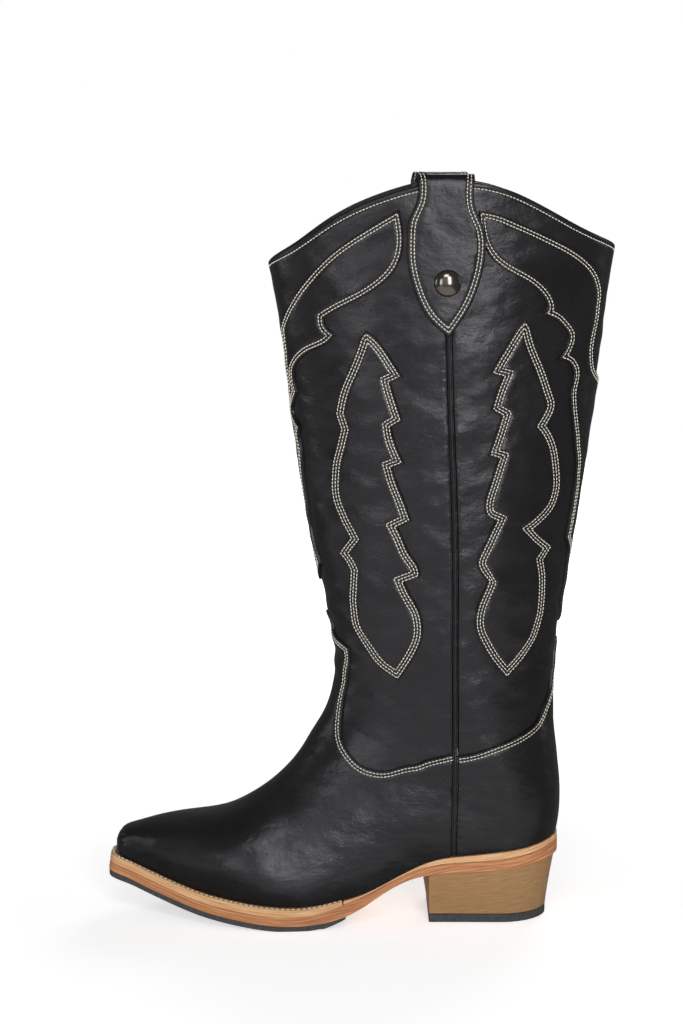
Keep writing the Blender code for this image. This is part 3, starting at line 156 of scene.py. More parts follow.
FRONT_FLAME_BELOW = [
    [(24.9, 407.1), (24.6, 394.2), (20.1, 383.5), (11.7, 375.0), (0.1, 367.5), (-10.9, 361.7),
     (-19.2, 356.5)],
    [(-17.6, 351.0), (-12.7, 347.4)],
    [(-18.1, 341.6), (-27.0, 337.1), (-33.5, 331.3), (-36.4, 323.9), (-35.9, 317.5), (-34.6, 312.5)],
    [(-36.6, 306.0)],
]
FRONT_TAIL = [[(4.5, 301.5), (12.0, 292.5)],
              [(8.5, 286.5), (9.5, 280.0), (8.0, 265.0), (5.0, 240.0), (4.0, 229.0), (8.5, 217.0),
               (10.5, 213.0)],
              [(6.0, 208.0)]]
FRONT_TAIL_END, FRONT_V_END = 200.5, 304.8
BACK_FLAME_TIP = (67.3, 417.4)
BACK_FLAME_ABOVE = [(76.1, 415.9), (86.2, 412.1), (97.9, 407.0), (108.9, 401.8), (120.1, 396.0),
                    (129.5, 389.2), (135.1, 382.5), (138.1, 374.3), (138.6, 366.7), (137.1, 354.7),
                    (135.2, 343.5),
                    (134.7, 334.0), (135.6, 327.4)]
BACK_V_END = 319.5
BACK_FLAME_BELOW = [
    [(71.5, 395.9), (76.4, 389.2), (85.0, 382.9), (95.4, 377.1), (103.0, 370.8), (106.5, 365.6),
     (107.0, 361.6), (104.6, 358.6)],
    [(110.5, 356.6), (116.7, 351.1), (119.8, 346.4), (119.3, 342.4), (115.8, 335.6), (113.2, 332.4)],
    [(118.3, 331.7), (121.9, 328.5), (123.3, 323.2), (121.6, 315.2), (121.8, 305.3), (123.6, 292.9),
     (125.0, 279.1), (125.6, 265.3), (124.3, 251.6), (122.2, 238.1), (120.4, 227.3)],
]
BACK_TAIL = [(6.0, 217.0), (4.5, 205.0), (3.6, 190.0)]
BACK_TAIL_END = 176.0
FEATHER_EDGE = 1.5
FRONT_FEATHER = [
    [(5.2, 347.0), (10.6, 341.0), (16.0, 333.1), (21.6, 324.1)],
    [(15.2, 321.1)],
    [(16.9, 314.9), (19.5, 306.9), (22.1, 299.2)],
    [(16.1, 295.5)],
    [(17.4, 288.5), (20.0, 281.6), (23.1, 274.9)],
    [(16.6, 272.3)],
    [(18.8, 264.8), (22.2, 255.9), (25.0, 248.7), (27.6, 241.8)],
    [(19.7, 237.7)],
    [(23.3, 230.3), (27.6, 221.0), (31.6, 215.2), (33.0, 209.2)],
    [(24.1, 205.6)],
    [(27.6, 197.9), (32.6, 189.2), (34.6, 181.3), (34.6, 173.6), (31.9, 165.4), (27.1, 156.4), (22.3, 148.6)],
    [(14.6, 153.7), (7.9, 162.1), (2.1, 170.6), (-1.3, 179.2), (-2.7, 189.4), (-2.7, 199.0), (-2.2, 210.1)],
    [(-5.0, 215.6), (-8.5, 220.0)],
    [(-2.3, 229.1)],
    [(-8.3, 240.7), (-11.9, 249.3), (-13.2, 258.3), (-12.8, 269.0), (-10.5, 280.9), (-7.5, 292.5)],
    [(-10.5, 301.2)],
    [(-9.2, 308.2), (-5.8, 319.1), (-0.5, 331.2), (5.2, 347.0)],
]
REAR_FEATHER = [
    [(93.9, 353.0), (87.6, 342.0), (82.4, 333.3), (78.5, 325.9)],
    [(85.1, 324.1)],
    [(81.7, 315.0), (78.7, 304.8)],
    [(84.5, 301.4)],
    [(81.1, 289.8), (77.3, 278.9)],
    [(83.0, 277.0)],
    [(78.8, 263.8), (75.8, 254.4), (75.0, 247.2), (77.0, 243.0), (81.6, 240.8)],
    [(78.0, 233.1), (72.9, 222.2), (71.2, 213.6), (74.0, 208.8)],
    [(78.0, 209.3)],
    [(75.8, 201.9), (71.9, 192.4), (69.8, 182.5), (70.7, 175.0), (74.4, 166.9), (80.0, 157.4), (85.5, 150.3)],
    [(92.4, 157.5), (98.9, 165.8), (103.4, 175.5), (106.1, 185.3), (106.8, 196.0), (106.6, 207.3),
     (105.3, 216.6)],
    [(110.1, 223.9)],
    [(103.3, 229.9), (98.4, 235.2)],
    [(106.9, 242.3), (112.0, 249.0), (114.2, 257.9), (114.0, 268.8), (112.4, 278.9), (108.6, 289.6),
     (104.7, 295.2)],
    [(108.4, 301.2), (110.1, 307.5), (108.2, 313.6), (104.7, 323.4), (100.0, 334.8), (95.6, 346.2),
     (93.9, 353.0)],
]


BENDS = {}


def lengths(points):
    """How far along a run each of its points is."""
    return np.concatenate([[0], np.cumsum(np.linalg.norm(np.diff(points, axis=0), axis=1))])


def bends(knots, values):
    """Second derivatives of the natural cubic spline through rows of values."""
    count, step = len(knots), np.diff(knots)
    system = np.zeros((count, count))
    right = np.zeros((count, values.shape[1]))
    system[0, 0] = system[-1, -1] = 1
    for i in range(1, count - 1):
        system[i, i - 1] = step[i - 1]
        system[i, i] = 2 * (step[i - 1] + step[i])
        system[i, i + 1] = step[i]
        right[i] = 6 * ((values[i + 1] - values[i]) / step[i] - (values[i] - values[i - 1]) / step[i - 1])
    return np.linalg.solve(system, right)


def spline(knots, values, at):
    """Natural cubic spline through rows of values."""
    key = knots.tobytes() + values.tobytes()
    if key not in BENDS:
        BENDS[key] = bends(knots, values)
    bend, count = BENDS[key], len(knots)
    i = np.clip(np.searchsorted(knots, at) - 1, 0, count - 2)
    span = (knots[i + 1] - knots[i])[:, None]
    a = (knots[i + 1] - at)[:, None] / span
    b = 1 - a
    return a * values[i] + b * values[i + 1] + ((a**3 - a) * bend[i] + (b**3 - b) * bend[i + 1]) * span**2 / 6


def curve(points, at):
    """The second value of a list of pairs, as a smooth function of the first, held at the ends."""
    pairs = np.array(points, float)
    at = np.clip(np.asarray(at, float).ravel(), pairs[0, 0], pairs[-1, 0])
    return spline(pairs[:, 0], pairs[:, 1:], at)[:, 0]


def rear_end(rear):
    """Point of the feather line or the back line at this distance from the toe."""
    rear = np.clip(rear, 0, behind(SHAFT_TOP))
    z = np.maximum(rear - (HEEL_X - TOE_X) + HEEL_Z, HEEL_Z)
    x = np.minimum(rear + TOE_X, HEEL_X)
    on_back = z > HEEL_Z
    return np.where(on_back, curve(BACK, z), x), np.where(on_back, z, curve(FEATHER, x))


PLAN = np.array(SECTIONS, float)
PLAN_REAR = np.stack(rear_end(PLAN[:, 2]), axis=1)
STEPS = (np.hypot(*np.diff(PLAN[:, :2], axis=0).T) + np.hypot(*np.diff(PLAN_REAR, axis=0).T)) / 2
KNOTS = np.concatenate([[0.0], np.cumsum(STEPS)])
T_END = KNOTS[-1]


def section(t):
    """Front x and z, rear x and z, then the other columns of the plan, at t."""
    row = spline(KNOTS, PLAN, np.clip(t, 0, T_END))
    x, z = rear_end(row[:, 2])
    spread = np.clip(row[:, 8], 0.5, 1.0)
    return row[:, 0], row[:, 1], x, z, *row[:, 3:8].T, spread, row[:, 9]


def surface(t, a, side):
    """Reference surface at t and a, from 0 at the front line to 1 at the rear end, on the given side."""
    fx, fz, rx, rz, half, widest, hem, full, shift, spread, radius = section(t)
    s = (1 - np.cos(spread * np.pi * a)) / (1 - np.cos(spread * np.pi))
    x, z = fx + (rx - fx) * s, fz + (rz - fz) * s
    v = np.clip((widest - s) / widest, 0, 1)
    front = np.sqrt(np.maximum(1 - v * v, 0)) * (1 + full * v * v)
    v = np.clip((s - widest) / (1 - widest), 0, 1)
    tuck = 1 - (1 - np.minimum(hem, 1)) * v * v
    toe = (1 - (1 - np.clip((x - TOE_X) / TOE_ROUND, 0, 1)) ** TOE_POWER) ** (1 / TOE_POWER)
    v = 1 - np.clip((curve(BACK, z) - x) / radius, 0, 1)
    back = np.sqrt(np.maximum(1 - v * v, 0)) * (1 + full * v * v)
    return np.stack([x, shift + side * half * front * tuck * toe * back, z], axis=1)


def t_under(x):
    """The t of the section whose rear end is at this x on the feather line."""
    t = np.linspace(0, T_END, 4000)
    return float(np.interp(under(x), spline(KNOTS, PLAN[:, 2:3], t)[:, 0], t))


T_CORNER = t_under(HEEL_X)


def fold(places):
    """The a and the side of places. Either side of the slit along the feather line counts as on that line."""
    u = np.mod(places[:, 0] / GIRTH, 2.0)
    a = np.where(u <= 1, u, 2 - u)
    at_slit = (a > 1 - 1.5 * SLIT / GIRTH) & (places[:, 1] <= T_CORNER + 0.01)
    return np.where(at_slit, 1.0, a), np.where(u <= 1, OUTER, INNER)


def lifted(places, height):
    """Points at the given height over the surface. A place is u * GIRTH and t."""
    a, side = fold(places)
    t = np.clip(places[:, 1], 0, T_END)
    base = surface(t, a, side)
    reach, along = 0.004, 0.3
    before, after = a - reach, a + reach
    open_hem = (after > 1) & (t < T_CORNER)
    after = np.where(open_hem, 1.0, after)
    low = surface(t, np.abs(before), np.where(before < 0, -side, side))
    high = surface(t, np.where(after > 1, 2 - after, after), np.where(after > 1, -side, side))
    ahead = surface(np.minimum(t + along, T_END), a, side)
    behind_it = surface(np.maximum(t - along, 0), a, side)
    normal = np.cross(high - low, ahead - behind_it) * -side[:, None]
    at_hem = (a > 0.999) & (t < T_CORNER + 0.5)
    normal[at_hem, 2] = 0
    normal[a < 0.001, 1] = 0
    at_toe = t < 0.01
    normal[at_toe] = (-1, 0, 0)
    normal[at_toe, 2] = np.clip(1 - a[at_toe] / 0.4, 0, 1)
    normal[(a > 0.999) & (t >= T_CORNER), 1] = 0
    normal /= np.linalg.norm(normal, axis=1)[:, None]
    return base + normal * height


def locate(points):
    """Places on the outer side of points given as x and z in side view."""
    x, z = np.array(points, float).T
    low, high = np.zeros(len(x)), np.full(len(x), T_END)
    for _ in range(40):
        middle = (low + high) / 2
        fx, fz, rx, rz = section(middle)[:4]
        above = (rx - fx) * (z - fz) - (rz - fz) * (x - fx) > 0
        low, high = np.where(above, middle, low), np.where(above, high, middle)
    fx, fz, rx, rz, *_, spread, _ = section(middle)
    s = ((x - fx) * (rx - fx) + (z - fz) * (rz - fz)) / ((rx - fx) ** 2 + (rz - fz) ** 2)
    a = np.arccos(1 - np.clip(s, 0, 1) * (1 - np.cos(spread * np.pi))) / (spread * np.pi)
    return np.stack([a * GIRTH, middle], axis=1)


def other_side(places):
    return np.stack([2 * GIRTH - places[:, 0], places[:, 1]], axis=1)


def on_side(side, points):
    """Places on one side of points given as x and z in side view."""
    places = locate(points)
    return other_side(places) if side == INNER else places


def beside(line, points):
    """Outer places from a distance round the leg, from the front line (0) or the back line (1), and z."""
    found = []
    for distance, z in points:
        t = np.linspace(0, T_END, 900)
        fx, fz, rx, rz = section(t)[:4]
        t = t[np.argmin(np.abs((rz if line else fz) - z) + 1000 * (t < T_CORNER) * line)]
        a = np.linspace(0, 1, 200)
        ring = surface(np.full(200, t), a, np.full(200, OUTER))
        if line:
            ring, a = ring[::-1], a[::-1]
        run = lengths(ring)
        found.append((GIRTH * np.interp(distance, run, a), t))
    return np.array(found)


def rounded(points, step=2.0):
    """A smooth run through points, which it keeps."""
    points = np.asarray(points, float)
    apart = np.linalg.norm(np.diff(points, axis=0), axis=1) > 0.05
    points = points[np.concatenate([[True], apart])]
    if len(points) < 3:
        return points
    run = lengths(points)
    at = [np.linspace(a, b, max(2, round((b - a) / step) + 1))[:-1] for a, b in zip(run[:-1], run[1:])]
    return spline(run, points, np.concatenate(at + [[run[-1]]]))


def joined(stretches):
    """One outline from stretches of places, with a corner wherever two meet."""
    outline, last = [], None
    for stretch in stretches:
        stretch = np.asarray(stretch, float).reshape(-1, 2)
        if last is not None:
            stretch = np.vstack([last, stretch])
        run = rounded(stretch)
        outline.extend(run[1:] if last is not None else run)
        last = run[-1]
    return np.array(outline)


def across(half, line):
    """Half an outline, from the front line (0) or the back line (1) and back to it, with its mirror image."""
    other = half[::-1].copy()
    other[:, 0] = 2 * line * GIRTH - other[:, 0]
    return np.vstack([half, other[1:-1]])


def on_inner(outline):
    return other_side(outline)[::-1]


def grown(outline, distance):
    """An outline moved outwards, with mitred corners."""
    area = np.sum(outline[:, 0] * np.roll(outline[:, 1], -1) - np.roll(outline[:, 0], -1) * outline[:, 1])
    ahead = np.roll(outline, -1, axis=0) - outline
    ahead /= np.linalg.norm(ahead, axis=1)[:, None]
    normal = np.stack([ahead[:, 1], -ahead[:, 0]], axis=1) * np.sign(area)
    mitre = normal + np.roll(normal, 1, axis=0)
    mitre /= np.linalg.norm(mitre, axis=1)[:, None]
    return outline + distance * mitre / np.maximum(np.sum(mitre * normal, axis=1), 0.5)[:, None]


def within(outline, points):
    """Which points lie inside an outline, by the edges that a line from each point crosses."""
    inside = np.zeros(len(points), bool)
    for (x0, y0), (x1, y1) in zip(outline, np.roll(outline, -1, axis=0)):
        if y0 != y1:
            crosses = (y0 > points[:, 1]) != (y1 > points[:, 1])
            inside ^= crosses & (points[:, 0] < (x1 - x0) * (points[:, 1] - y0) / (y1 - y0) + x0)
    return inside


def seam_run(shift, top, foot):
    """Points down the side seam between two heights, moved forwards or backwards."""
    steps = [405, 380, 355, 325, 295, 265, 235, 205, *range(184, 46, -7)]
    heights = [top] + [z for z in steps if foot + 3 < z < top - 3] + [foot]
    return [(x + shift, z) for x, z in zip(curve(SIDE_SEAM, heights), heights)]


def stud_notch(edge, direction):
    """The half of the stud's hole that this edge of the side seam goes round, from top to bottom."""
    reach = math.acos(min(1.0, abs(edge - STUD[0]) / POST_HOLE))
    return [(STUD[0] + direction * POST_HOLE * math.cos(g), STUD[1] + POST_HOLE * math.sin(g))
            for g in np.linspace(reach, -reach, 5)]


def shaft_seam(shift, foot):
    """Stretches down the side seam from the rim to the given height."""
    direction = -1 if shift < 0 else 1
    edge = float(curve(SIDE_SEAM, [STUD[1]])[0]) + shift
    notch = stud_notch(edge, direction)
    return [locate(seam_run(shift, 433.3, 382)), locate(notch[:1]), locate(notch[1:]),
            locate(seam_run(shift, 372, foot))]


def shaft_half(front, shift):
    """Half the outline of a shaft panel or its lining."""
    if front:
        start, end, rim, hem, hem_end = RIM_CORNERS[0], UNDER_VAMP_FRONT, RIM_FRONT, UNDER_VAMP, 0
    else:
        start, end, rim, hem, hem_end = RIM_CORNERS[1], UNDER_COUNTER_BACK, RIM_BACK[::-1], UNDER_COUNTER, 1
    return joined([
        np.vstack([beside(hem_end, [(0, start)]), locate(rim + seam_run(shift, 433.3, 382)[:1])]),
        *shaft_seam(shift, hem[0][1]),
        np.vstack([locate(hem[1:]), beside(hem_end, [(0, end)])]),
    ])


def hem_run(t_from, t_to):
    """Two corners with the feather line between them, on the outer side."""
    return [(GIRTH - SLIT, t_from)], [(GIRTH - SLIT, t_to)]


def seam_foot(shift):
    """Value of t where the side seam meets the feather line."""
    return t_under(float(curve(SIDE_SEAM, [41.0])[0]) + shift)


def seam_down(shift, top):
    return locate(seam_run(shift, top, 43.0))


def up_the_toe(outline):
    """An outline that has come to the toe along the feather line, taken on to the front line."""
    return np.vstack([outline, [(0.66 * GIRTH, 0), (0.33 * GIRTH, 0), (0, 0)]])


def up_the_heel(outline):
    """An outline that has come to the back line along the feather line, taken on to that line."""
    return np.vstack([outline, [(GIRTH, T_CORNER)]])


def strap_lift(side):
    """Height over the middle of a strap that runs up the outside, over the rim and down inside the shaft."""
    def lift(flat, height):
        x, run = flat.T
        turn = np.clip(run / STRAP_BEND, 0, math.pi)
        z = STRAP_TOP + np.minimum(run, 0) - np.maximum(run - math.pi * STRAP_BEND, 0)
        places = on_side(side, np.stack([x, z], axis=1))
        base = lifted(places, 0)
        normal = lifted(places, 1) - base
        reach = STRAP_BEND + height
        point = base + normal * (STRAP_MIDDLE + reach * np.cos(turn))[:, None]
        point[:, 2] += reach * np.sin(turn)
        return point
    return lift


CENTRE = np.array([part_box("heel_rand")[0].x / MM - (WELT_END + 0.6), 0.0, 0.0])
SPACING = 1.9
STITCH, THREAD, PITCH = 1.62, 0.285, 2.1
EDGE_STEP, GROOVE = 1.3, 0.24


def swell(points, length, seed):
    """Smooth, uneven rise and fall over points, about -1 to 1."""
    rng = np.random.default_rng(seed)
    heading = rng.normal(size=(8, 3))
    heading /= np.linalg.norm(heading, axis=1)[:, None]
    turns = 2 * math.pi / (length * rng.uniform(0.7, 1.5, 8))
    return np.sin(points @ (heading * turns[:, None]).T + rng.uniform(0, 2 * math.pi, 8)).mean(axis=1) * 1.7


def bell(points, centre, reach):
    return np.exp(-np.sum(((points - centre) / reach) ** 2, axis=1))


def relief(points):
    """How far the worn leather stands off the plan: soft hollows, and creases where the ankle bends."""
    x, y, z = points.T
    height = 0.50 * swell(points * (1, 1, 1.5), 62, 3) + 0.27 * swell(points * (1, 1, 2.0), 27, 5)
    flow = z + 0.35 * x + 3.0 * swell(points, 40, 8)
    front = bell(points, (-8, 0, 172), (26, 60, 34))
    back = bell(points, (108, 0, 176), (24, 60, 42))
    shin = bell(points, (0, 0, 262), (26, 60, 60)) + bell(points, (96, 0, 262), (26, 60, 60))
    height += 0.48 * front * np.sin(flow / 2.3)
    height += 0.30 * back * np.sin((z - 0.4 * x + 3 * swell(points, 33, 9)) / 2.6)
    height += 0.27 * shin * np.sin((z + 4.0 * swell(points, 46, 12)) / 2.9)
    sole = curve(FEATHER, np.clip(x, TOE_X, HEEL_X))
    calm = np.clip((z - sole - 5) / 22, 0, 1) * (1 - bell(points, (STUD[0], 0, STUD[1] + 10), (22, 90, 50)))
    smooth_foot = 0.22 + 0.78 * np.clip((z - 95) / 45, 0, 1)
    return height * calm * smooth_foot


def leg(places, height):
    """Points over the worn leg at a height, which may differ from place to place."""
    base = lifted(places, 0.0)
    normal = lifted(places, 1.0) - base
    return base + normal * (relief(base) + height)[:, None]


def nearest(points, others):
    tree = KDTree(len(others))
    for i, point in enumerate(others):
        tree.insert(point, i)
    tree.balance()
    return np.array([tree.find(point)[2] for point in points])


def divided(path, lift, spacing, closed):
    """A path of places with more points, so that none are further apart than the spacing."""
    ends = np.roll(path, -1, axis=0) if closed else path[1:]
    starts = path if closed else path[:-1]
    length = np.linalg.norm(lift(ends, np.zeros(len(ends))) - lift(starts, np.zeros(len(starts))), axis=1)
    found = []
    for a, b, long in zip(starts, ends, length):
        count = max(1, math.ceil(long / spacing - 0.3))
        found.extend(a + (b - a) * np.arange(count)[:, None] / count)
    if not closed:
        found.append(path[-1])
    return np.array(found)


def metric(places, lift):
    """For each place, the matrix that turns a small step of u and t into millimetres along and across."""
    at = places.copy()
    if lift is leg:
        at[:, 1] = np.clip(at[:, 1], 1.0, T_END - 1.0)
        off = at[:, 0] - GIRTH
        near = (np.abs(off) < 2.0) & (at[:, 1] < T_CORNER + 1)
        at[near, 0] = GIRTH + np.where(off[near] < 0, -2.0, 2.0)
    flat = np.zeros(len(at))
    step = 0.2
    across_it = (lift(at + (step, 0), flat) - lift(at - (step, 0), flat)) / (2 * step)
    along_it = (lift(at + (0, step), flat) - lift(at - (0, step), flat)) / (2 * step)
    e = np.maximum((across_it**2).sum(axis=1), 1e-3)
    f, g = (across_it * along_it).sum(axis=1), (along_it**2).sum(axis=1)
    found = np.zeros((len(at), 2, 2))
    found[:, 0, 0] = np.sqrt(e)
    found[:, 0, 1] = f / np.sqrt(e)
    found[:, 1, 1] = np.sqrt(np.maximum(g - f * f / e, 1e-3))
    return found


def beside_path(path, distance, lift, closed, left):
    """A path moved sideways over the surface by a real distance, with what crosses over itself taken out."""
    ahead = np.roll(path, -1, axis=0) - path
    if not closed:
        ahead[-1] = ahead[-2]
    scale = metric(path, lift)
    step = np.einsum("nij,nj->ni", scale, ahead)
    before = np.einsum("nij,nj->ni", scale, np.roll(ahead, 1, axis=0) if closed else
                       np.vstack([ahead[:1], ahead[:-1]]))
    turn = np.array([[0.0, -1.0], [1.0, 0.0]]) * (1 if left else -1)
    sides = [(v / np.linalg.norm(v, axis=1)[:, None]) @ turn.T for v in (step, before)]
    mitre = sides[0] + sides[1]
    mitre /= np.maximum(np.linalg.norm(mitre, axis=1), 0.2)[:, None]
    mitre /= np.maximum((mitre * sides[0]).sum(axis=1), 0.6)[:, None]
    moved = path + np.linalg.solve(scale, (distance * mitre)[:, :, None])[:, :, 0]
    fine = divided(path, lift, 0.35, closed)
    apart = nearest(lift(moved, np.zeros(len(moved))), lift(fine, np.zeros(len(fine))))
    return moved[apart > 0.94 * distance]


def turned_left(path):
    """Whether the inside of a closed path is on its left."""
    other = np.roll(path, -1, axis=0)
    return np.sum(path[:, 0] * other[:, 1] - other[:, 0] * path[:, 1]) > 0


def leg_lattice(spacing):
    """Evenly spaced places over the leg. At the toe they stand in columns over its front line."""
    columns = divided(np.array([(0.66 * GIRTH, 0), (0.33 * GIRTH, 0), (0, 0)]), leg, EDGE_STEP, False)[:, 0]
    columns = np.concatenate([np.arange(GIRTH, 0.66 * GIRTH + 1, -1.6), columns])
    toe_rows = [0.1, 0.25, 0.5, 0.9, 1.5, 2.3, 3.2, 4.2]
    found = [np.stack([columns, np.full(len(columns), t)], axis=1) for t in toe_rows]
    a = np.linspace(0, 1, 80)
    for number, t in enumerate(np.arange(5.6, T_END, spacing * 0.87)):
        ring = surface(np.full(80, t), a, np.full(80, OUTER))
        run = lengths(ring)
        count = max(3, round(run[-1] / spacing))
        at = (np.arange(count + 1) + 0.5 * (number % 2)) / count
        at = at[at <= 1] * run[-1]
        found.append(np.stack([GIRTH * np.interp(at, run, a), np.full(len(at), t)], axis=1))
    outer = np.vstack(found)
    inner = other_side(outer)
    front = np.stack([-outer[:, 0], outer[:, 1]], axis=1)
    return np.unique(np.round(np.vstack([outer, inner, front]), 4), axis=0)


LATTICE = leg_lattice(SPACING)


def inside_of(outline, points):
    """The same as within, after leaving out the points beyond the outline's box."""
    low, high = outline.min(axis=0), outline.max(axis=0)
    maybe = np.flatnonzero(((points > low) & (points < high)).all(axis=1))
    found = np.zeros(len(points), bool)
    found[maybe] = within(outline, points[maybe])
    return found


def triangles(outline, inner_points):
    """Triangles that join an outline and the points inside it."""
    count = len(outline)
    points = np.vstack([outline, inner_points])
    lean = 0.15
    edges = [(i, (i + 1) % count) for i in range(count)]
    found = delaunay_2d_cdt([Vector((x + lean * y, y)) for x, y in points], edges, [], 0, 1e-4)
    flat = np.array([(x - lean * y, y) for x, y in found[0]])
    faces = np.array([f for f in found[2] if len(f) == 3])
    on_edge = np.array([any(i < count for i in origin) or not origin for origin in found[3]])
    doubtful = on_edge[faces].all(axis=1)
    keep = ~doubtful
    keep[doubtful] = within(outline, flat[faces[doubtful]].mean(axis=1))
    used, faces = np.unique(faces[keep], return_inverse=True)
    return flat[used], faces.reshape(-1, 3)


def piece(name, points, faces, material, node=None, sharp=40):
    """A visible piece from points in millimetres. It rides on the boot and stands for its CAD node."""
    mesh = bpy.data.meshes.new(name)
    mesh.from_pydata(((np.asarray(points) + CENTRE) * MM).tolist(), [], [list(map(int, f)) for f in faces])
    mesh.validate()
    mesh.shade_smooth()
    mesh.set_sharp_from_angle(angle=math.radians(sharp))
    obj = bpy.data.objects.new(name, mesh)
    bpy.context.scene.collection.objects.link(obj)
    mesh.materials.append(material)
    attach(obj, "root")
    if node:
        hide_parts(node)
    return obj


def mapped(obj):
    """A map on a sole piece, of length along the sole and depth under its feather line."""
    layer = obj.data.uv_layers.new(name="along_and_down")
    co = np.array([v.co for v in obj.data.vertices]) / MM - CENTRE
    index = np.array([loop.vertex_index for loop in obj.data.loops])
    flat = np.stack([co[:, 0] + 0.6 * co[:, 1], co[:, 2] - curve(FEATHER, co[:, 0])], axis=1) * MM
    layer.data.foreach_set("uv", flat[index].ravel())


def shell(name, flat, faces, high, low, lift, material, node, turned=False):
    """A closed sheet between two heights, each given for every place."""
    top, bottom = lift(flat, high), lift(flat, low)
    pairs = np.round(np.hstack([bottom, top]), 2)
    _, first, same = np.unique(pairs, axis=0, return_index=True, return_inverse=True)
    top, bottom, faces = top[first], bottom[first], same.reshape(-1)[faces]
    faces = faces[(faces[:, 0] != faces[:, 1]) & (faces[:, 1] != faces[:, 2]) & (faces[:, 0] != faces[:, 2])]
    _, same, times = np.unique(np.sort(faces, axis=1), axis=0, return_inverse=True, return_counts=True)
    faces = faces[times[same.reshape(-1)] == 1]
    edges = {(int(f[i]), int(f[(i + 1) % 3])) for f in faces for i in range(3)}
    count = len(top)
    solid = [tuple(f) for f in faces] + [tuple(f[::-1] + count) for f in faces]
    solid += [(b, a, a + count, b + count) for a, b in edges if (b, a) not in edges]
    if turned:
        solid = [f[::-1] for f in solid]
    return piece(name, np.vstack([top, bottom]), solid, material, node)


def level(value, places):
    """A height over the leg, which may be given place by place."""
    return value(places) if callable(value) else np.full(len(places), float(value))


def hugging(places):
    """Top of the vamp and the heel cover, which lie closer to the leg up at their points."""
    return COVER[1] - 0.65 * np.clip((lifted(places, 0.0)[:, 2] - 105) / 45, 0, 1)


def sheet(name, outline, layer, material, rows=(), lift=leg, lattice=None, edge=0.85, bulge=0.0,
          turned=False):
    """A leather piece with rounded edges and a groove under each row of stitches."""
    def flat_zero(places):
        return lift(places, np.zeros(len(places)))
    outline = divided(outline, lift, EDGE_STEP, True)
    real_edge = outline
    if lift is leg:
        real_edge = outline[(outline[:, 1] > 0.01) | (np.abs(outline[:, 0] - GIRTH) < 2)]
    left = turned_left(outline)
    inner = [beside_path(outline, d, lift, True, left) for d in (0.12 * edge, 0.4 * edge, 0.9 * edge)]
    if lift is leg:
        inner = [row[row[:, 1] > 2.5] for row in inner]
    threads = [divided(row, lift, 1.0, False) for row in rows]
    for thread in threads:
        inner += [thread, *(beside_path(thread, 0.55, lift, False, on_left) for on_left in (True, False))]
    close = np.vstack(inner)
    close = close[inside_of(outline, close)]
    grid = LATTICE if lattice is None else lattice
    grid = grid[inside_of(outline, grid)]
    edge_line = flat_zero(divided(real_edge, lift, 0.4, False))
    grid_at = flat_zero(grid)
    grid = grid[(nearest(grid_at, edge_line) > 0.8 + edge) & (nearest(grid_at, flat_zero(close)) > 0.9)]
    flat, faces = triangles(outline, np.vstack([close, grid]))
    at = flat_zero(flat)
    depth = nearest(at, flat_zero(divided(real_edge, lift, 0.25, False)))
    short = np.clip(edge - depth, 0, edge)
    high = level(layer[1], flat) - edge + np.sqrt(np.maximum(edge**2 - short**2, 0))
    if threads:
        groove = nearest(at, flat_zero(np.vstack([divided(row, lift, 0.5, False) for row in threads])))
        high -= GROOVE * np.exp(-((groove / 0.45) ** 2))
        high += bulge * np.exp(-((groove / 2.2) ** 2)) * (1 - np.exp(-((groove / 0.8) ** 2)))
    low = level(layer[0], flat)
    return shell(name, flat, faces, high, low, lift, material, name, turned)


def sewn(name, rows, height, material, lift=leg):
    """Stitches in rows along paths of places."""
    runs = []
    for row in rows:
        path = divided(row, lift, 0.4, False)
        line = lift(path, level(height, path))
        runs.append((line, lift(path, level(height, path) + 1.0) - line))
    return stitches(name, runs, material)


def stitches(name, runs, material, thread=THREAD, pitch=PITCH, long=STITCH):
    """Short threads that dip in at both ends, along lines that come with their way up."""
    points, faces, sides = [], [], 6
    along = np.array([0.0, 0.1, 0.5, 0.9, 1.0])
    thick = np.array([0.45, 0.9, 1.0, 0.9, 0.45])
    sunk = np.array([-0.34, -0.06, 0.07, -0.06, -0.34])
    for line, up in runs:
        run = lengths(line)
        count = int(run[-1] / pitch)
        if count < 1:
            continue
        start = (np.arange(count) + 0.5) * run[-1] / count - long / 2
        at = np.clip(start[:, None] + long * along, 0, run[-1])
        centre = np.stack([np.interp(at, run, line[:, k]) for k in range(3)], axis=2)
        rise = np.stack([np.interp(at, run, up[:, k]) for k in range(3)], axis=2)
        rise /= np.linalg.norm(rise, axis=2)[:, :, None]
        ahead = centre[:, -1] - centre[:, 0]
        ahead /= np.maximum(np.linalg.norm(ahead, axis=1), 1e-6)[:, None]
        side = np.cross(ahead[:, None, :], rise)
        side /= np.maximum(np.linalg.norm(side, axis=2), 1e-6)[:, :, None]
        angle = np.arange(sides) * 2 * math.pi / sides
        ring = (np.cos(angle)[:, None] * side[:, :, None, :] + np.sin(angle)[:, None] * rise[:, :, None, :])
        body = centre[:, :, None, :] + (sunk[:, None] * rise[..., :])[:, :, None, :]
        body = body + ring * (thread * thick)[:, None, None]
        first = sum(len(p) for p in points)
        points.append(body.reshape(-1, 3))
        index = first + np.arange(count * 5 * sides).reshape(count, 5, sides)
        turn = np.roll(index, -1, axis=2)
        quads = np.stack([index[:, :-1], turn[:, :-1], turn[:, 1:], index[:, 1:]], axis=-1)
        faces += [tuple(f) for f in quads.reshape(-1, 4)]
        faces += [tuple(f) for f in index[:, 0, ::-1]] + [tuple(f) for f in index[:, -1]]
    return piece(name, np.vstack(points), faces, material, sharp=80)


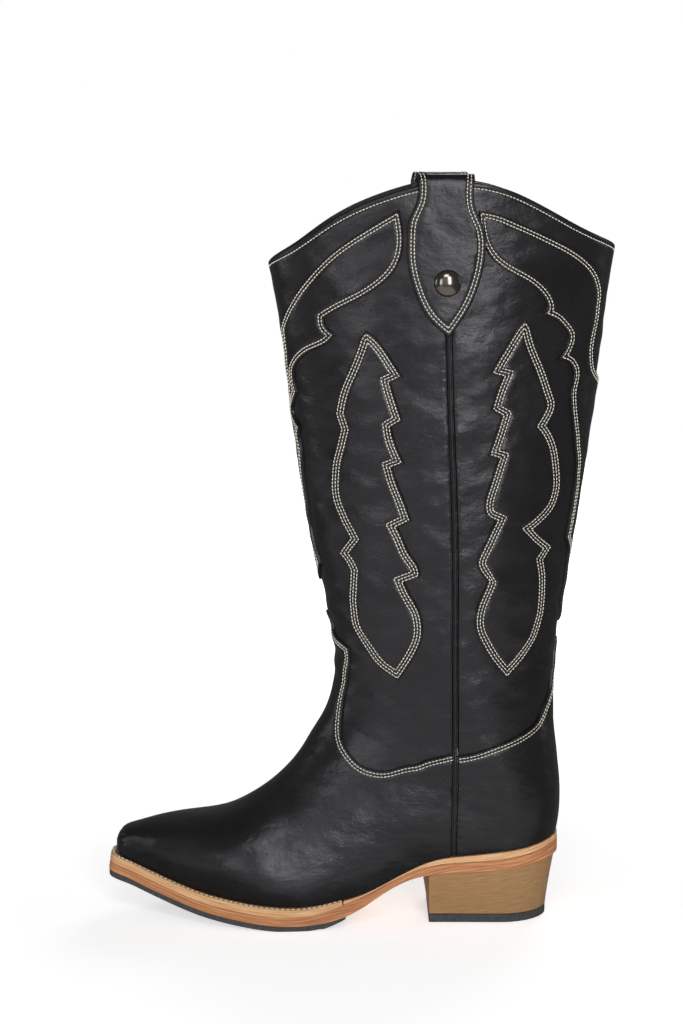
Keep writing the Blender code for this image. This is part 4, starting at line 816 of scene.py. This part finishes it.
HEM_HALF = [(x, half * hem) for x, half, hem in
            zip(PLAN_REAR[:12, 0], PLAN[:12, 3], np.minimum(PLAN[:12, 5], 1))] + [(HEEL_X + 5, 31.4 * 0.95)]
HEM_SHIFT = [(x, shift) for x, shift in zip(PLAN_REAR[:12, 0], PLAN[:12, 7])] + [(HEEL_X + 5, 0.0)]


def sole_edge(x, inset, side):
    """The y of the footprint's edge, moved inwards by inset."""
    x = np.asarray(x, float).ravel()
    inset = np.broadcast_to(np.asarray(inset, float), x.shape)
    half = curve(HEM_HALF, x)
    slope = curve(HEM_HALF, x + 0.5) - curve(HEM_HALF, x - 0.5)
    half = half - inset * np.sqrt(1 + slope**2)
    reach = np.maximum(TOE_ROUND - 0.8 * inset, 0.8)
    toe = (1 - (1 - np.clip((x - TOE_X - inset) / reach, 0, 1)) ** TOE_POWER) ** (1 / TOE_POWER)
    v = 1 - np.clip((HEEL_X - inset - x) / (HEEL_ROUND - inset), 0, 1)
    return curve(HEM_SHIFT, x) + side * half * toe * np.sqrt(np.maximum(1 - v * v, 0))


def stations(start, end, toe_end, heel_end, step=2.5):
    """Values of x between two ends, closer together at a rounded end."""
    count = max(3, int((end - start) / step))
    x = np.linspace(start, end, count)
    if toe_end:
        x = np.concatenate([start + np.array([0, 0.4, 1.6, 4.0, 8.0]), x[x > start + 10]])
    if heel_end:
        x = np.concatenate([x[x < end - 22], end - np.array([18, 13, 8.5, 4.5, 1.8, 0.4, 0])])
    return x


def outset(x):
    return -curve(OUTSET, x)


def plate(name, x, inset, top, under_side, finish):
    """A sole piece that fills the footprint between two surfaces."""
    rows = []
    for side in (OUTER, INNER):
        y = sole_edge(x, inset, side)
        rows += [np.stack([x, y, top], axis=1), np.stack([x, y, under_side], axis=1)]
    return ladder(name, rows[0], rows[1], rows[2], rows[3], finish)


def merged(points):
    """The first of each set of points that meet, and for every point which of those it is."""
    _, first, same = np.unique(np.round(points, 3), axis=0, return_index=True, return_inverse=True)
    return first, same


def tube(index):
    """Faces of a closed tube. Each row of numbers is one line of points along it."""
    count, length = index.shape
    faces = []
    for i in range(count):
        j = (i + 1) % count
        faces += [(index[i, k], index[j, k], index[j, k + 1], index[i, k + 1]) for k in range(length - 1)]
    return faces + [tuple(index[:, -1]), tuple(index[::-1, 0])]


def sole_piece(name, points, faces, finish):
    """A piece of the bottom, without faces that have shrunk to a line, and with its map."""
    clean = []
    for face in faces:
        kept = [v for n, v in enumerate(face) if v != face[n - 1]]
        if len(set(kept)) > 2:
            clean.append(kept)
    obj = piece(name, points, clean, finish, name)
    work = bmesh.new()
    work.from_mesh(obj.data)
    bmesh.ops.recalc_face_normals(work, faces=work.faces)
    work.to_mesh(obj.data)
    work.free()
    mapped(obj)
    return obj


def ladder(name, outer_top, outer_low, inner_top, inner_low, finish):
    """A closed strip with four corners at each rung. Corners that meet are made one."""
    points = np.vstack([outer_top, outer_low, inner_low, inner_top])
    first, same = merged(points)
    return sole_piece(name, points[first], tube(same.reshape(4, len(outer_top))), finish)


def band(name, x_outside, x_inside, outer_inset, inner_inset, top, under_side, finish):
    """A strip round the toe or the heel. Both runs of x go from its open ends to its middle."""
    runs = []
    for x, inset in ((x_outside, outer_inset), (x_inside, inner_inset)):
        near = np.stack([x, sole_edge(x, inset(x), OUTER), x], axis=1)
        far = np.stack([x, sole_edge(x, inset(x), INNER), x], axis=1)[::-1]
        runs.append(np.vstack([near, far[1:]]))
    rows = []
    for run in runs:
        for level in (top, under_side):
            row = run.copy()
            row[:, 2] = level(run[:, 0])
            rows.append(row)
    return ladder(name, rows[0], rows[1], rows[2], rows[3], finish)


def feather(x):
    return curve(FEATHER, x)


def edge_top(x):
    return feather(x) - 0.45 - 0.5 * np.clip((x - 98) / 12, 0, 1)


def edge_under(x):
    return edge_top(x) - curve(EDGE_LAYER, x)


def midsole_top(x):
    return edge_under(x) - 0.04


def midsole_under(x):
    return curve(MIDSOLE_UNDER, x)


def heel_points(level, z):
    """Rungs of the heel's outline, from the breast to the back. Level is 0 at the floor and 1 at the seat."""
    top_back = HEEL_X + 1.2
    back = HEEL_BACK_X + (top_back - HEEL_BACK_X) * level**1.3
    seat_x = stations(BREAST_X, top_back, False, True)
    part = (seat_x - BREAST_X) / (top_back - BREAST_X)
    x = BREAST_X + (back - BREAST_X) * part
    width = HEEL_TAPER + (1 - HEEL_TAPER) * level
    centre = curve(HEM_SHIFT, seat_x)
    rungs = []
    for side in (OUTER, 0, INNER):
        y = centre + (sole_edge(seat_x, -1.2, side) - centre) * width if side else centre
        bulge = np.zeros(len(x))
        if not side:
            bulge[0] = BREAST_BULGE * level
        rungs.append(np.stack([x - bulge, y, z(x - bulge)], axis=1))
    return np.array(rungs)


def heel_solid(name, levels, finish):
    """A solid from the heel's outline at several levels, lowest first."""
    rings = np.array([heel_points(level, z) for level, z in levels])
    layers, _, count = rings.shape[:3]
    points = rings.reshape(-1, 3)
    first, same = merged(points)
    index = same.reshape(layers, 3, count)
    faces = []
    for k in range(count - 1):
        for i in range(2):
            j = i + 1
            faces.append((index[-1, i, k], index[-1, i, k + 1], index[-1, j, k + 1], index[-1, j, k]))
            faces.append((index[0, i, k], index[0, j, k], index[0, j, k + 1], index[0, i, k + 1]))
    for n in range(layers - 1):
        for i in (0, 2):
            faces += [(index[n, i, k], index[n, i, k + 1], index[n + 1, i, k + 1], index[n + 1, i, k])
                      for k in range(count - 1)]
        faces += [(index[n, i, 0], index[n + 1, i, 0], index[n + 1, i + 1, 0], index[n, i + 1, 0])
                  for i in range(2)]
    return sole_piece(name, points[first], faces, finish)


def shaded(name, metallic=0.0, specular=0.5, coat=0.0, coat_roughness=0.2):
    """A new material, its node tree and its shader."""
    material = bpy.data.materials.new(name)
    material.use_nodes = True
    shader = material.node_tree.nodes["Principled BSDF"]
    shader.inputs["Metallic"].default_value = metallic
    shader.inputs["Specular IOR Level"].default_value = specular
    shader.inputs["Coat Weight"].default_value = coat
    shader.inputs["Coat Roughness"].default_value = coat_roughness
    return material, material.node_tree, shader


def noise(tree, scale, stretch=(1, 1, 1), detail=4.0, rough=0.55, kind="NOISE"):
    """The value of a noise over the piece. Scale is in cells a metre."""
    place = tree.nodes.new("ShaderNodeTexCoord")
    turn = tree.nodes.new("ShaderNodeMapping")
    turn.inputs["Scale"].default_value = stretch
    tree.links.new(place.outputs["Object"], turn.inputs["Vector"])
    if kind == "CELLS":
        made = tree.nodes.new("ShaderNodeTexVoronoi")
        made.feature = "DISTANCE_TO_EDGE"
        made.inputs["Scale"].default_value = scale
        tree.links.new(turn.outputs["Vector"], made.inputs["Vector"])
        return made.outputs["Distance"]
    made = tree.nodes.new("ShaderNodeTexNoise")
    made.inputs["Scale"].default_value = scale
    made.inputs["Detail"].default_value = detail
    made.inputs["Roughness"].default_value = rough
    tree.links.new(turn.outputs["Vector"], made.inputs["Vector"])
    return made.outputs["Fac"]


def ramp(tree, value, stops):
    """A colour for each value. Stops are position and colour."""
    node = tree.nodes.new("ShaderNodeValToRGB")
    while len(node.color_ramp.elements) < len(stops):
        node.color_ramp.elements.new(0.5)
    for element, (position, colour) in zip(node.color_ramp.elements, stops):
        element.position, element.color = position, (*colour, 1)
    tree.links.new(value, node.inputs["Fac"])
    return node.outputs["Color"]


def ranged(tree, value, low, high, start=0.3, end=0.7):
    node = tree.nodes.new("ShaderNodeMapRange")
    for socket, number in zip(("From Min", "From Max", "To Min", "To Max"), (start, end, low, high)):
        node.inputs[socket].default_value = number
    tree.links.new(value, node.inputs["Value"])
    return node.outputs["Result"]


def bumped(tree, shader, layers):
    """Bump from several heights. Each is a value, a strength and a depth in metres."""
    normal = None
    for value, strength, depth in layers:
        node = tree.nodes.new("ShaderNodeBump")
        node.inputs["Strength"].default_value = strength
        node.inputs["Distance"].default_value = depth
        tree.links.new(value, node.inputs["Height"])
        if normal is not None:
            tree.links.new(normal, node.inputs["Normal"])
        normal = node.outputs["Normal"]
    tree.links.new(normal, shader.inputs["Normal"])


def leather_look(name, dark, light, rough=(0.25, 0.37), specular=0.5, grain=0.24, creases=0.42):
    material, tree, shader = shaded(name, specular=specular)
    shader.inputs["Specular Tint"].default_value = (0.97, 0.95, 1.0, 1)
    patches = noise(tree, 30, detail=6)
    tree.links.new(ramp(tree, patches, [(0.35, dark), (0.7, light)]), shader.inputs["Base Color"])
    tree.links.new(ranged(tree, noise(tree, 45, detail=5, rough=0.65), *rough), shader.inputs["Roughness"])
    bumped(tree, shader, [
        (noise(tree, 26, stretch=(1, 1, 1.3), detail=2, rough=0.4), creases, 0.006),
        (noise(tree, 95, stretch=(1, 1, 1.7), detail=4, rough=0.55), 0.36, 0.0012),
        (noise(tree, 1100, kind="CELLS"), grain, 0.00022),
    ])
    return material


def edge_look(name, colours, rough=(0.42, 0.6), long=0.022, thin=0.0010, bump=0.3):
    """Cut and waxed leather edge. Its layers run along the sole, by a map of length along and depth under."""
    material, tree, shader = shaded(name, specular=0.45)
    place = tree.nodes.new("ShaderNodeUVMap")
    place.uv_map = "along_and_down"
    turn = tree.nodes.new("ShaderNodeMapping")
    turn.inputs["Scale"].default_value = (1 / long, 1 / thin, 1)
    tree.links.new(place.outputs["UV"], turn.inputs["Vector"])
    layers = tree.nodes.new("ShaderNodeTexNoise")
    layers.inputs["Scale"].default_value = 1.0
    layers.inputs["Detail"].default_value = 5.0
    layers.inputs["Roughness"].default_value = 0.62
    tree.links.new(turn.outputs["Vector"], layers.inputs["Vector"])
    streaks = layers.outputs["Fac"]
    tree.links.new(ramp(tree, streaks, colours), shader.inputs["Base Color"])
    tree.links.new(ranged(tree, noise(tree, 70, detail=4), *rough), shader.inputs["Roughness"])
    bumped(tree, shader, [(streaks, bump, 0.0006), (noise(tree, 420, detail=4), 0.2, 0.0004)])
    return material


def plain_look(name, dark, light, rough, scale=300, bump=0.2, metallic=0.0, specular=0.5):
    material, tree, shader = shaded(name, metallic=metallic, specular=specular)
    speckle = noise(tree, scale, detail=5)
    tree.links.new(ramp(tree, speckle, [(0.3, dark), (0.7, light)]), shader.inputs["Base Color"])
    tree.links.new(ranged(tree, noise(tree, scale / 4, detail=3), *rough), shader.inputs["Roughness"])
    bumped(tree, shader, [(speckle, bump, 0.0003)])
    return material


BLACK = leather_look("black_leather", (0.0055, 0.0052, 0.0058), (0.010, 0.0095, 0.0105))
BEAD_BLACK = leather_look("black_leather_bead", (0.006, 0.006, 0.0065), (0.012, 0.012, 0.013), creases=0.1)
TAN_LINING = plain_look("lining_leather", (0.22, 0.14, 0.08), (0.36, 0.25, 0.15), (0.6, 0.8), 240)
FACING = plain_look("black_facing", (0.01, 0.01, 0.011), (0.02, 0.019, 0.02), (0.5, 0.65), 260)
BOARD = plain_look("leatherboard", (0.36, 0.25, 0.14), (0.5, 0.37, 0.23), (0.75, 0.95), 500)
CORK = plain_look("cork", (0.28, 0.17, 0.08), (0.6, 0.42, 0.25), (0.8, 0.95), 420, 0.5)
STEEL = plain_look("steel", (0.4, 0.4, 0.42), (0.58, 0.58, 0.6), (0.25, 0.4), 900, 0.05, 1.0)
COTTON = plain_look("cotton", (0.5, 0.45, 0.36), (0.68, 0.63, 0.52), (0.85, 0.95), 1500, 0.5)
THREADS = plain_look("thread", (0.56, 0.51, 0.42), (0.85, 0.80, 0.70), (0.6, 0.8), 1800, 0.5)
WELT_THREADS = plain_look("welt_thread", (0.80, 0.69, 0.50), (0.95, 0.87, 0.70), (0.6, 0.8), 1800, 0.5)
GUNMETAL = plain_look("gunmetal", (0.17, 0.152, 0.130), (0.23, 0.208, 0.178), (0.14, 0.20), 160, 0.02, 1.0)
RUBBER = plain_look("rubber", (0.032, 0.033, 0.036), (0.062, 0.063, 0.067), (0.6, 0.8), 420, 0.35)
WELT = edge_look("welt_leather", [(0.28, (0.40, 0.17, 0.065)), (0.46, (0.60, 0.32, 0.145)),
                                  (0.62, (0.68, 0.42, 0.22)), (0.75, (0.78, 0.56, 0.35))])
SOLE = edge_look("sole_leather", [(0.28, (0.27, 0.088, 0.032)), (0.5, (0.46, 0.182, 0.068)),
                                  (0.72, (0.63, 0.335, 0.150))])
STACK = edge_look("stacked_leather", [(0.25, (0.235, 0.116, 0.043)), (0.5, (0.325, 0.180, 0.072)),
                                      (0.75, (0.395, 0.238, 0.106))],
                  rough=(0.36, 0.5), long=0.012, thin=0.0009, bump=0.08)


def mirrored(half, line):
    """A path from the inner end, over the front line (0) or the back line (1), to the outer end."""
    other = half[:0:-1].copy()
    other[:, 0] = 2 * line * GIRTH - other[:, 0]
    return np.vstack([other, half])


def inset(path, distance, outline, lift=leg, closed=False):
    """A path moved into its outline by a real distance."""
    path = divided(path, lift, 0.6, closed)
    rows = [beside_path(path, distance, lift, closed, left) for left in (True, False)]
    inside = [inside_of(outline, row).sum() for row in rows]
    row = rows[int(np.argmax(inside))]
    return row[inside_of(outline, row)]


def closed_up(row):
    return np.vstack([row, row[:1]])


def make_shaft():
    for name, front, shift, line in (("shaft_front_panel", True, -SEAM_EDGE, 0),
                                     ("shaft_back_panel", False, SEAM_EDGE, 1)):
        rim = (RIM_FRONT if front else RIM_BACK[::-1]) + seam_run(shift, 433.3, 382)[:1]
        edge = joined([np.vstack([beside(line, [(0, RIM_CORNERS[line])]), locate(rim)])])
        outline = across(shaft_half(front, shift), line)
        row = inset(mirrored(edge, line), 3.2, outline)
        sheet(name, outline, PANEL, BLACK, [row], edge=1.0, bulge=0.25)
        sewn("stitches_" + name, [row], 0.0, THREADS)
    for name, front, shift, line in (("shaft_lining_front", True, -LINING_EDGE, 0),
                                     ("shaft_lining_back", False, LINING_EDGE, 1)):
        sheet(name, across(shaft_half(front, shift), line), LINING, FACING, edge=0.5)


def make_foot():
    top = joined([np.vstack([beside(0, VAMP_TONGUE), locate(VAMP_TOP[0])]), locate(VAMP_TOP[1]),
                  seam_down(-SEAM_EDGE, 103.3)[1:2]])[:-1]
    vamp = joined([np.vstack([beside(0, VAMP_TONGUE), locate(VAMP_TOP[0])]), locate(VAMP_TOP[1]),
                   seam_down(-SEAM_EDGE, 103.3)[1:], *hem_run(seam_foot(-SEAM_EDGE), 0)])
    outline = across(up_the_toe(vamp), 0)
    rows = [inset(mirrored(top, 0), distance, outline) for distance in (1.6, 3.4)]
    sheet("vamp", outline, (SUNK, hugging), BLACK, rows, edge=0.9, bulge=0.15)
    sewn("stitches_vamp", rows, hugging, THREADS)
    top = joined([np.vstack([beside(1, [(0, COUNTER_TIP)]), locate(COUNTER_TOP[::-1])])])
    counter = joined([np.vstack([beside(1, [(0, COUNTER_TIP)]), locate(COUNTER_TOP[::-1])]),
                      seam_down(SEAM_EDGE, 101.8)[1:], *hem_run(seam_foot(SEAM_EDGE), T_CORNER)])
    outline = across(up_the_heel(counter), 1)
    rows = [inset(mirrored(top, 1), distance, outline) for distance in (1.6, 3.4)]
    sheet("heel_counter_cover", outline, (SUNK, hugging), BLACK, rows, edge=0.9, bulge=0.15)
    sewn("stitches_heel_counter", rows, hugging, THREADS)


def make_overlays():
    front = joined([
        beside(0, [(0, FRONT_V_END)] + FRONT_FLAME_V[::-1]),
        np.vstack([beside(0, FRONT_FLAME_V[:1]), locate(FRONT_FLAME_ABOVE[::-1] + [FRONT_FLAME_TIP])])[1:],
        *[locate(stretch) for stretch in FRONT_FLAME_BELOW],
        *[beside(0, stretch) for stretch in FRONT_TAIL],
        beside(0, [(0, FRONT_TAIL_END)]),
    ])
    back = joined([
        np.vstack([beside(1, [(0, BACK_V_END)]), locate(BACK_FLAME_ABOVE[::-1] + [BACK_FLAME_TIP])]),
        *[locate(stretch) for stretch in BACK_FLAME_BELOW],
        np.vstack([beside(1, BACK_TAIL), beside(1, [(0, BACK_TAIL_END)])]),
    ])
    for name, half, line in (("flame_overlay_front", front, 0), ("flame_overlay_back", back, 1)):
        outline = across(half, line)
        rows = [closed_up(inset(outline, distance, outline, closed=True)) for distance in (1.4, 3.2)]
        sheet(name, outline, (SUNK, OVERLAY[1]), BLACK, rows, edge=0.8, bulge=0.15)
        sewn("stitches_" + name, rows, OVERLAY[1], THREADS)
    for name, stretches in (("feather_overlay_front", FRONT_FEATHER), ("feather_overlay_rear", REAR_FEATHER)):
        outline = grown(joined([locate(stretch) for stretch in stretches])[:-1], FEATHER_EDGE)
        rows = [closed_up(inset(outline, distance, outline, closed=True)) for distance in (1.4, 3.1, 4.8)]
        for end in ("_outer", "_inner"):
            if end == "_inner":
                outline, rows = on_inner(outline), [on_inner(row) for row in rows]
            sheet(name + end, outline, (SUNK, OVERLAY[1]), BLACK, rows, edge=0.8, bulge=0.25)
            sewn("stitches_" + name + end, rows, OVERLAY[1], THREADS)


def make_piping(name, side):
    """The bead sewn into a side seam, from under the pull strap down to the welt."""
    heights = np.arange(42.5, 366.01, 2.0)[::-1]
    middle = curve(SIDE_SEAM, heights)
    top = np.interp(heights, [99, 106], [PIPING_TOP_AT_VAMP, PIPING_TOP])
    half, sides = PIPING_WIDTH / 2, 10
    rings = []
    for angle in np.linspace(-0.25 * math.pi, 1.25 * math.pi, sides):
        places = on_side(side, np.stack([middle + half * math.cos(angle), heights], axis=1))
        rings.append(leg(places, top - half + half * math.sin(angle)))
    flange = SEAM_EDGE + 0.9
    base = np.interp(heights, [99, 106], [COVER[0] - 0.15, PANEL[0] + 0.3])
    for shift, level in ((-half * 0.8, 0.2), (-flange, 0), (-flange, SUNK), (flange, SUNK), (flange, 0),
                         (half * 0.8, 0.2)):
        places = on_side(side, np.stack([middle + shift, heights], axis=1))
        rings.append(leg(places, base + level))
    rings = np.array(rings)
    faces = tube(np.arange(rings.shape[0] * rings.shape[1]).reshape(rings.shape[:2]))
    if side == INNER:
        faces = [f[::-1] for f in faces]
    piece(name, rings.reshape(-1, 3), faces, BEAD_BLACK, name)


def make_strap(name, side):
    """A pull strap: up the outside, over the rim and down inside."""
    over = math.pi * STRAP_BEND
    left, right, foot = STRAP_INSIDE
    outside = [(x, z - STRAP_TOP) for x, z in STRAP_LEFT]
    down = [(x, z - STRAP_TOP) for x, z in STRAP_RIGHT]
    inside = [(left, over), (left, over + STRAP_TOP - foot)]
    inside_right = [(right, over + STRAP_TOP - foot), (right, over)]
    outline = joined([outside, inside[:1], inside[1:], inside_right[:1], inside_right[1:], down[:1],
                      down[1:]])[:-1]
    lift = strap_lift(side)
    x, run = np.meshgrid(np.arange(24, 76, SPACING), np.arange(-90, 80, SPACING))
    lattice = np.stack([x.ravel(), run.ravel()], axis=1)
    rows = [closed_up(inset(outline, distance, outline, lift, True)) for distance in (2.0, 3.9)]
    half = STRAP_THICK / 2

    def low(places):
        return -half - 1.5 * np.clip(-places[:, 1] / 12, 0, 1)
    sheet(name, outline, (low, half), BLACK, rows, lift, lattice, edge=1.2, bulge=0.2,
          turned=side == INNER)
    sewn("stitches_" + name, rows, half, THREADS, lift)


def make_stud(end, side):
    """The rivet through the strap: a domed head on a narrow flange, and its post."""
    outside = STRAP_MIDDLE + STRAP_BEND + STRAP_THICK / 2 + 0.05
    dome = [(STUD_RADIUS * math.sin(g), outside + 0.7 + (STUD_DOME + 0.2) * math.cos(g))
            for g in np.linspace(0, math.radians(84), 16)]
    dome[0] = (0, dome[0][1])
    profile = dome + [(STUD_RADIUS + 0.08, outside + 0.55), (STUD_RADIUS - 0.35, outside),
                      (POST_RADIUS, outside), (POST_RADIUS, outside - 3), (0, outside - 3)]
    places = on_side(side, [STUD])
    base = lifted(places, 0)[0]
    axis = Vector(lifted(places, 1)[0] - base)
    turn = np.array(axis.to_track_quat("Z", "Y").to_matrix())
    sides = 64
    angle = np.arange(sides) * 2 * math.pi / sides
    rings = [[(r * math.cos(g), r * math.sin(g), z) for g in angle] for r, z in profile[1:-1]]
    points = [(0, 0, profile[0][1])] + [p for ring in rings for p in ring] + [(0, 0, profile[-1][1])]
    faces = [(0, 1 + k, 1 + (k + 1) % sides) for k in range(sides)]
    for level in range(len(rings) - 1):
        first = 1 + level * sides
        faces += [(first + k, first + sides + k, first + sides + (k + 1) % sides, first + (k + 1) % sides)
                  for k in range(sides)]
    first = 1 + (len(rings) - 1) * sides
    faces += [(len(points) - 1, first + (k + 1) % sides, first + k) for k in range(sides)]
    piece("stud_" + end, np.array(points) @ turn.T + base, faces, GUNMETAL, "stud_" + end)


def softened(obj, width, segments=3, toe=False):
    """Worn edges on a sole piece."""
    if toe:
        flared(obj)
    bevel = obj.modifiers.new("worn_edges", "BEVEL")
    bevel.width = width * MM
    bevel.segments = segments
    bevel.limit_method = "ANGLE"
    bevel.angle_limit = math.radians(35)


def make_bottom():
    """Welt, rand, soles and heel, as the CAD has them but finer and with worn edges."""
    toe_out, toe_in = TOE_X - 5.0, TOE_X + WELT_INSIDE
    x_out = stations(toe_out, WELT_END, True, False)[::-1]
    x_in = toe_in + (x_out - toe_out) * (WELT_END - toe_in) / (WELT_END - toe_out)
    softened(band("welt", x_out, x_in, lambda x: outset(x) - 0.2, lambda x: np.full(len(x), WELT_INSIDE),
                  edge_top, edge_under, WELT), 0.3, toe=True)
    start, back_out, back_in = WELT_END + 0.6, HEEL_X + 2.6, HEEL_X - RAND_INSIDE
    x_out = stations(start, back_out, False, True)
    x_in = start + (x_out - start) * (back_in - start) / (back_out - start)
    softened(band("heel_rand", x_out, x_in, lambda x: outset(x) + 0.2, lambda x: np.full(len(x), RAND_INSIDE),
                  edge_top, edge_under, WELT), 0.3)
    x = stations(TOE_X - 4.8, HEEL_X + 2.8, True, True)
    softened(plate("midsole", x, outset(x), midsole_top(x), midsole_under(x), SOLE), 0.3,
             toe=True)
    x = stations(TOE_X - 4.6, RUBBER_END, True, False)
    bottom = np.maximum(feather(x) - 13.9, 0.0)
    top = midsole_under(x) - 0.05
    thinned = np.maximum(midsole_under(x) - 3.4 + (x + 20) * 0.15, 0)
    bottom = np.where(x > -20, np.minimum(thinned, top - 0.8), bottom)
    softened(plate("outsole_rubber", x, outset(x) + 0.2, top, bottom, RUBBER), 0.3, toe=True)

    def level_at(part):
        return lambda x: (LIFT_THICK + 0.3) * (1 - part) + (midsole_under(x) - 0.35) * part
    levels = [(0.06 + 0.94 * part, level_at(part)) for part in np.linspace(0, 1, 7)]
    softened(heel_solid("heel_block", levels, STACK), 0.4)
    levels = [(0.0, lambda x: np.zeros(len(x))), (0.05, lambda x: np.full(len(x), LIFT_THICK))]
    softened(heel_solid("heel_top_lift", levels, RUBBER), 0.4)


def flared(obj):
    """The toe of the sole leans out towards the ground."""
    for corner in obj.data.vertices:
        x, z = corner.co.x / MM - CENTRE[0], corner.co.z / MM
        lean = np.clip((TOE_X + 10 - x) / 15, 0, 1) * np.clip((edge_top(np.array([x]))[0] - z) / 9, 0, 1.1)
        corner.co.x -= TOE_FLARE * lean * MM


def make_welt_stitches():
    """The row that holds the welt to the midsole, along the ledge beside the upper."""
    toe = TOE_X - 3.8
    x = stations(TOE_X - 5.0, WELT_END, True, False)[::-1]
    x = toe + (x - x[-1]) * (WELT_END - toe) / (WELT_END - x[-1])
    near = np.stack([x, sole_edge(x, outset(x) + 1.2, OUTER), edge_top(x) + 0.05], axis=1)
    far = np.stack([x, sole_edge(x, outset(x) + 1.2, INNER), edge_top(x) + 0.05], axis=1)[::-1]
    line = np.vstack([near, far[1:]])
    run = lengths(line)
    at = np.arange(0, run[-1], 0.5)
    line = np.stack([np.interp(at, run, line[:, k]) for k in range(3)], axis=1)
    up = np.tile((0.0, 0.0, 1.0), (len(line), 1))
    stitches("stitches_welt", [(line, up)], WELT_THREADS, thread=0.42, pitch=3.1, long=2.5)


def make_stage():
    """Pale floor that glows as painted light, soft studio light, and the camera at standing height on the
    outer side.
    """
    bpy.ops.mesh.primitive_circle_add(vertices=128, radius=2.2, fill_type="NGON")
    floor = bpy.context.object
    floor.name = "floor"
    floor.visible_glossy = False
    material, tree, shader = shaded("pale_glowing_floor", specular=0.1)
    tree.links.new(ramp(tree, noise(tree, 3), [(0.3, (0.90, 0.90, 0.90)), (0.7, (0.92, 0.92, 0.92))]),
                   shader.inputs["Base Color"])
    shader.inputs["Roughness"].default_value = 0.9
    # Painted light: the floor glows, weakest under the boot and brighter further out, so it shows white and
    # washes out shadows near the boot.
    shader.inputs["Emission Color"].default_value = (1, 1, 1, 1)
    away = tree.nodes.new("ShaderNodeVectorMath")
    away.operation = "LENGTH"
    spot = tree.nodes.new("ShaderNodeTexCoord")
    tree.links.new(spot.outputs["Object"], away.inputs[0])
    glow = ranged(tree, away.outputs["Value"], 0.60, 1.2, 0.2, 0.9)
    tree.links.new(glow, shader.inputs["Emission Strength"])
    floor.data.materials.append(material)

    bpy.ops.mesh.primitive_uv_sphere_add(segments=48, ring_count=24, radius=9.0)
    backdrop = bpy.context.object
    backdrop.name = "backdrop"
    backdrop.visible_diffuse = False
    backdrop.visible_glossy = False
    backdrop.visible_shadow = False
    material, tree, shader = shaded("white_backdrop", specular=0.0)
    shader.inputs["Base Color"].default_value = (0, 0, 0, 1)
    shader.inputs["Emission Color"].default_value = (1, 1, 1, 1)
    shader.inputs["Emission Strength"].default_value = 1.0
    backdrop.data.materials.append(material)

    world = bpy.data.worlds.new("studio")
    bpy.context.scene.world = world
    world.use_nodes = True
    world.node_tree.nodes["Background"].inputs["Color"].default_value = (1, 1, 1, 1)
    world.node_tree.nodes["Background"].inputs["Strength"].default_value = WORLD

    for name, place, aim, size, power in LIGHTS:
        light = bpy.data.lights.new(name, "AREA")
        light.shape = "RECTANGLE"
        light.size, light.size_y = size
        light.energy = power
        lamp = bpy.data.objects.new(name, light)
        bpy.context.scene.collection.objects.link(lamp)
        lamp.visible_camera = False
        lamp.location = place
        lamp.rotation_euler = (Vector(aim) - Vector(place)).to_track_quat("-Z", "Y").to_euler()

    data = bpy.data.cameras.new("camera")
    data.lens = LENS
    camera = bpy.data.objects.new("camera", data)
    bpy.context.scene.collection.objects.link(camera)
    camera.location = CAMERA
    camera.rotation_euler = (math.radians(CAMERA_TILT), 0, 0)
    bpy.context.scene.camera = camera
    bpy.context.scene.view_settings.view_transform = "Standard"


CAMERA, CAMERA_TILT, LENS = (-0.0102, -1.5, 0.461), 81.64, 90.9
WORLD = 0.12
LIGHTS = [
    ("wide_front_panel", (-0.55, -2.23, 0.63), (-0.55, 0.0, 0.5), (2.2, 1.22), 2.7),
    ("left_strip", (-1.05, -1.95, 0.50), (0.0, 0.0, 0.2), (0.36, 0.95), 3.8),
    ("front_strip", (0.38, -1.9, 0.72), (0.0, 0.0, 0.2), (0.32, 1.15), 12.0),
    ("high_softbox", (-0.10, -1.5, 1.42), (0.0, 0.0, 0.1), (0.6, 0.45), 5.0),
    ("low_front_panel", (-0.175, -0.695, 0.006), (-0.175, -0.695, 1.0), (1.15, 1.21), 2.0),
    ("toe_softbox", (-1.9, -0.3, 0.5), (0.0, 0.0, 0.2), (0.5, 0.9), 3.2),
    ("back_softbox", (0.6, 1.9, 1.0), (0.0, 0.0, 0.2), (1.0, 1.0), 12),
    ("heel_softbox", (2.0, 0.3, 0.8), (0.0, 0.0, 0.2), (0.4, 1.2), 2.4),
]
INSIDE_LOOKS = {
    "vamp_lining": TAN_LINING, "heel_lining": TAN_LINING, "sock_liner": TAN_LINING,
    "heel_stiffener": BOARD, "toe_puff": BOARD, "insole_board": BOARD, "heel_seat_filler": BOARD,
    "vamp_interlining": COTTON, "cork_filler": CORK,
    "shank": STEEL, "stud_burr_outer": STEEL, "stud_burr_inner": STEEL,
    **{f"heel_nail_{number}": STEEL for number in range(1, 6)},
}


def main():
    make_shaft()
    make_foot()
    make_overlays()
    for end, side in (("outer", OUTER), ("inner", INNER)):
        make_piping("side_seam_piping_" + end, side)
        make_strap("pull_strap_" + end, side)
        make_stud(end, side)
    make_bottom()
    make_welt_stitches()
    for node, look in INSIDE_LOOKS.items():
        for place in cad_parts[node].material_slots:
            place.material = look
    make_stage()


main()
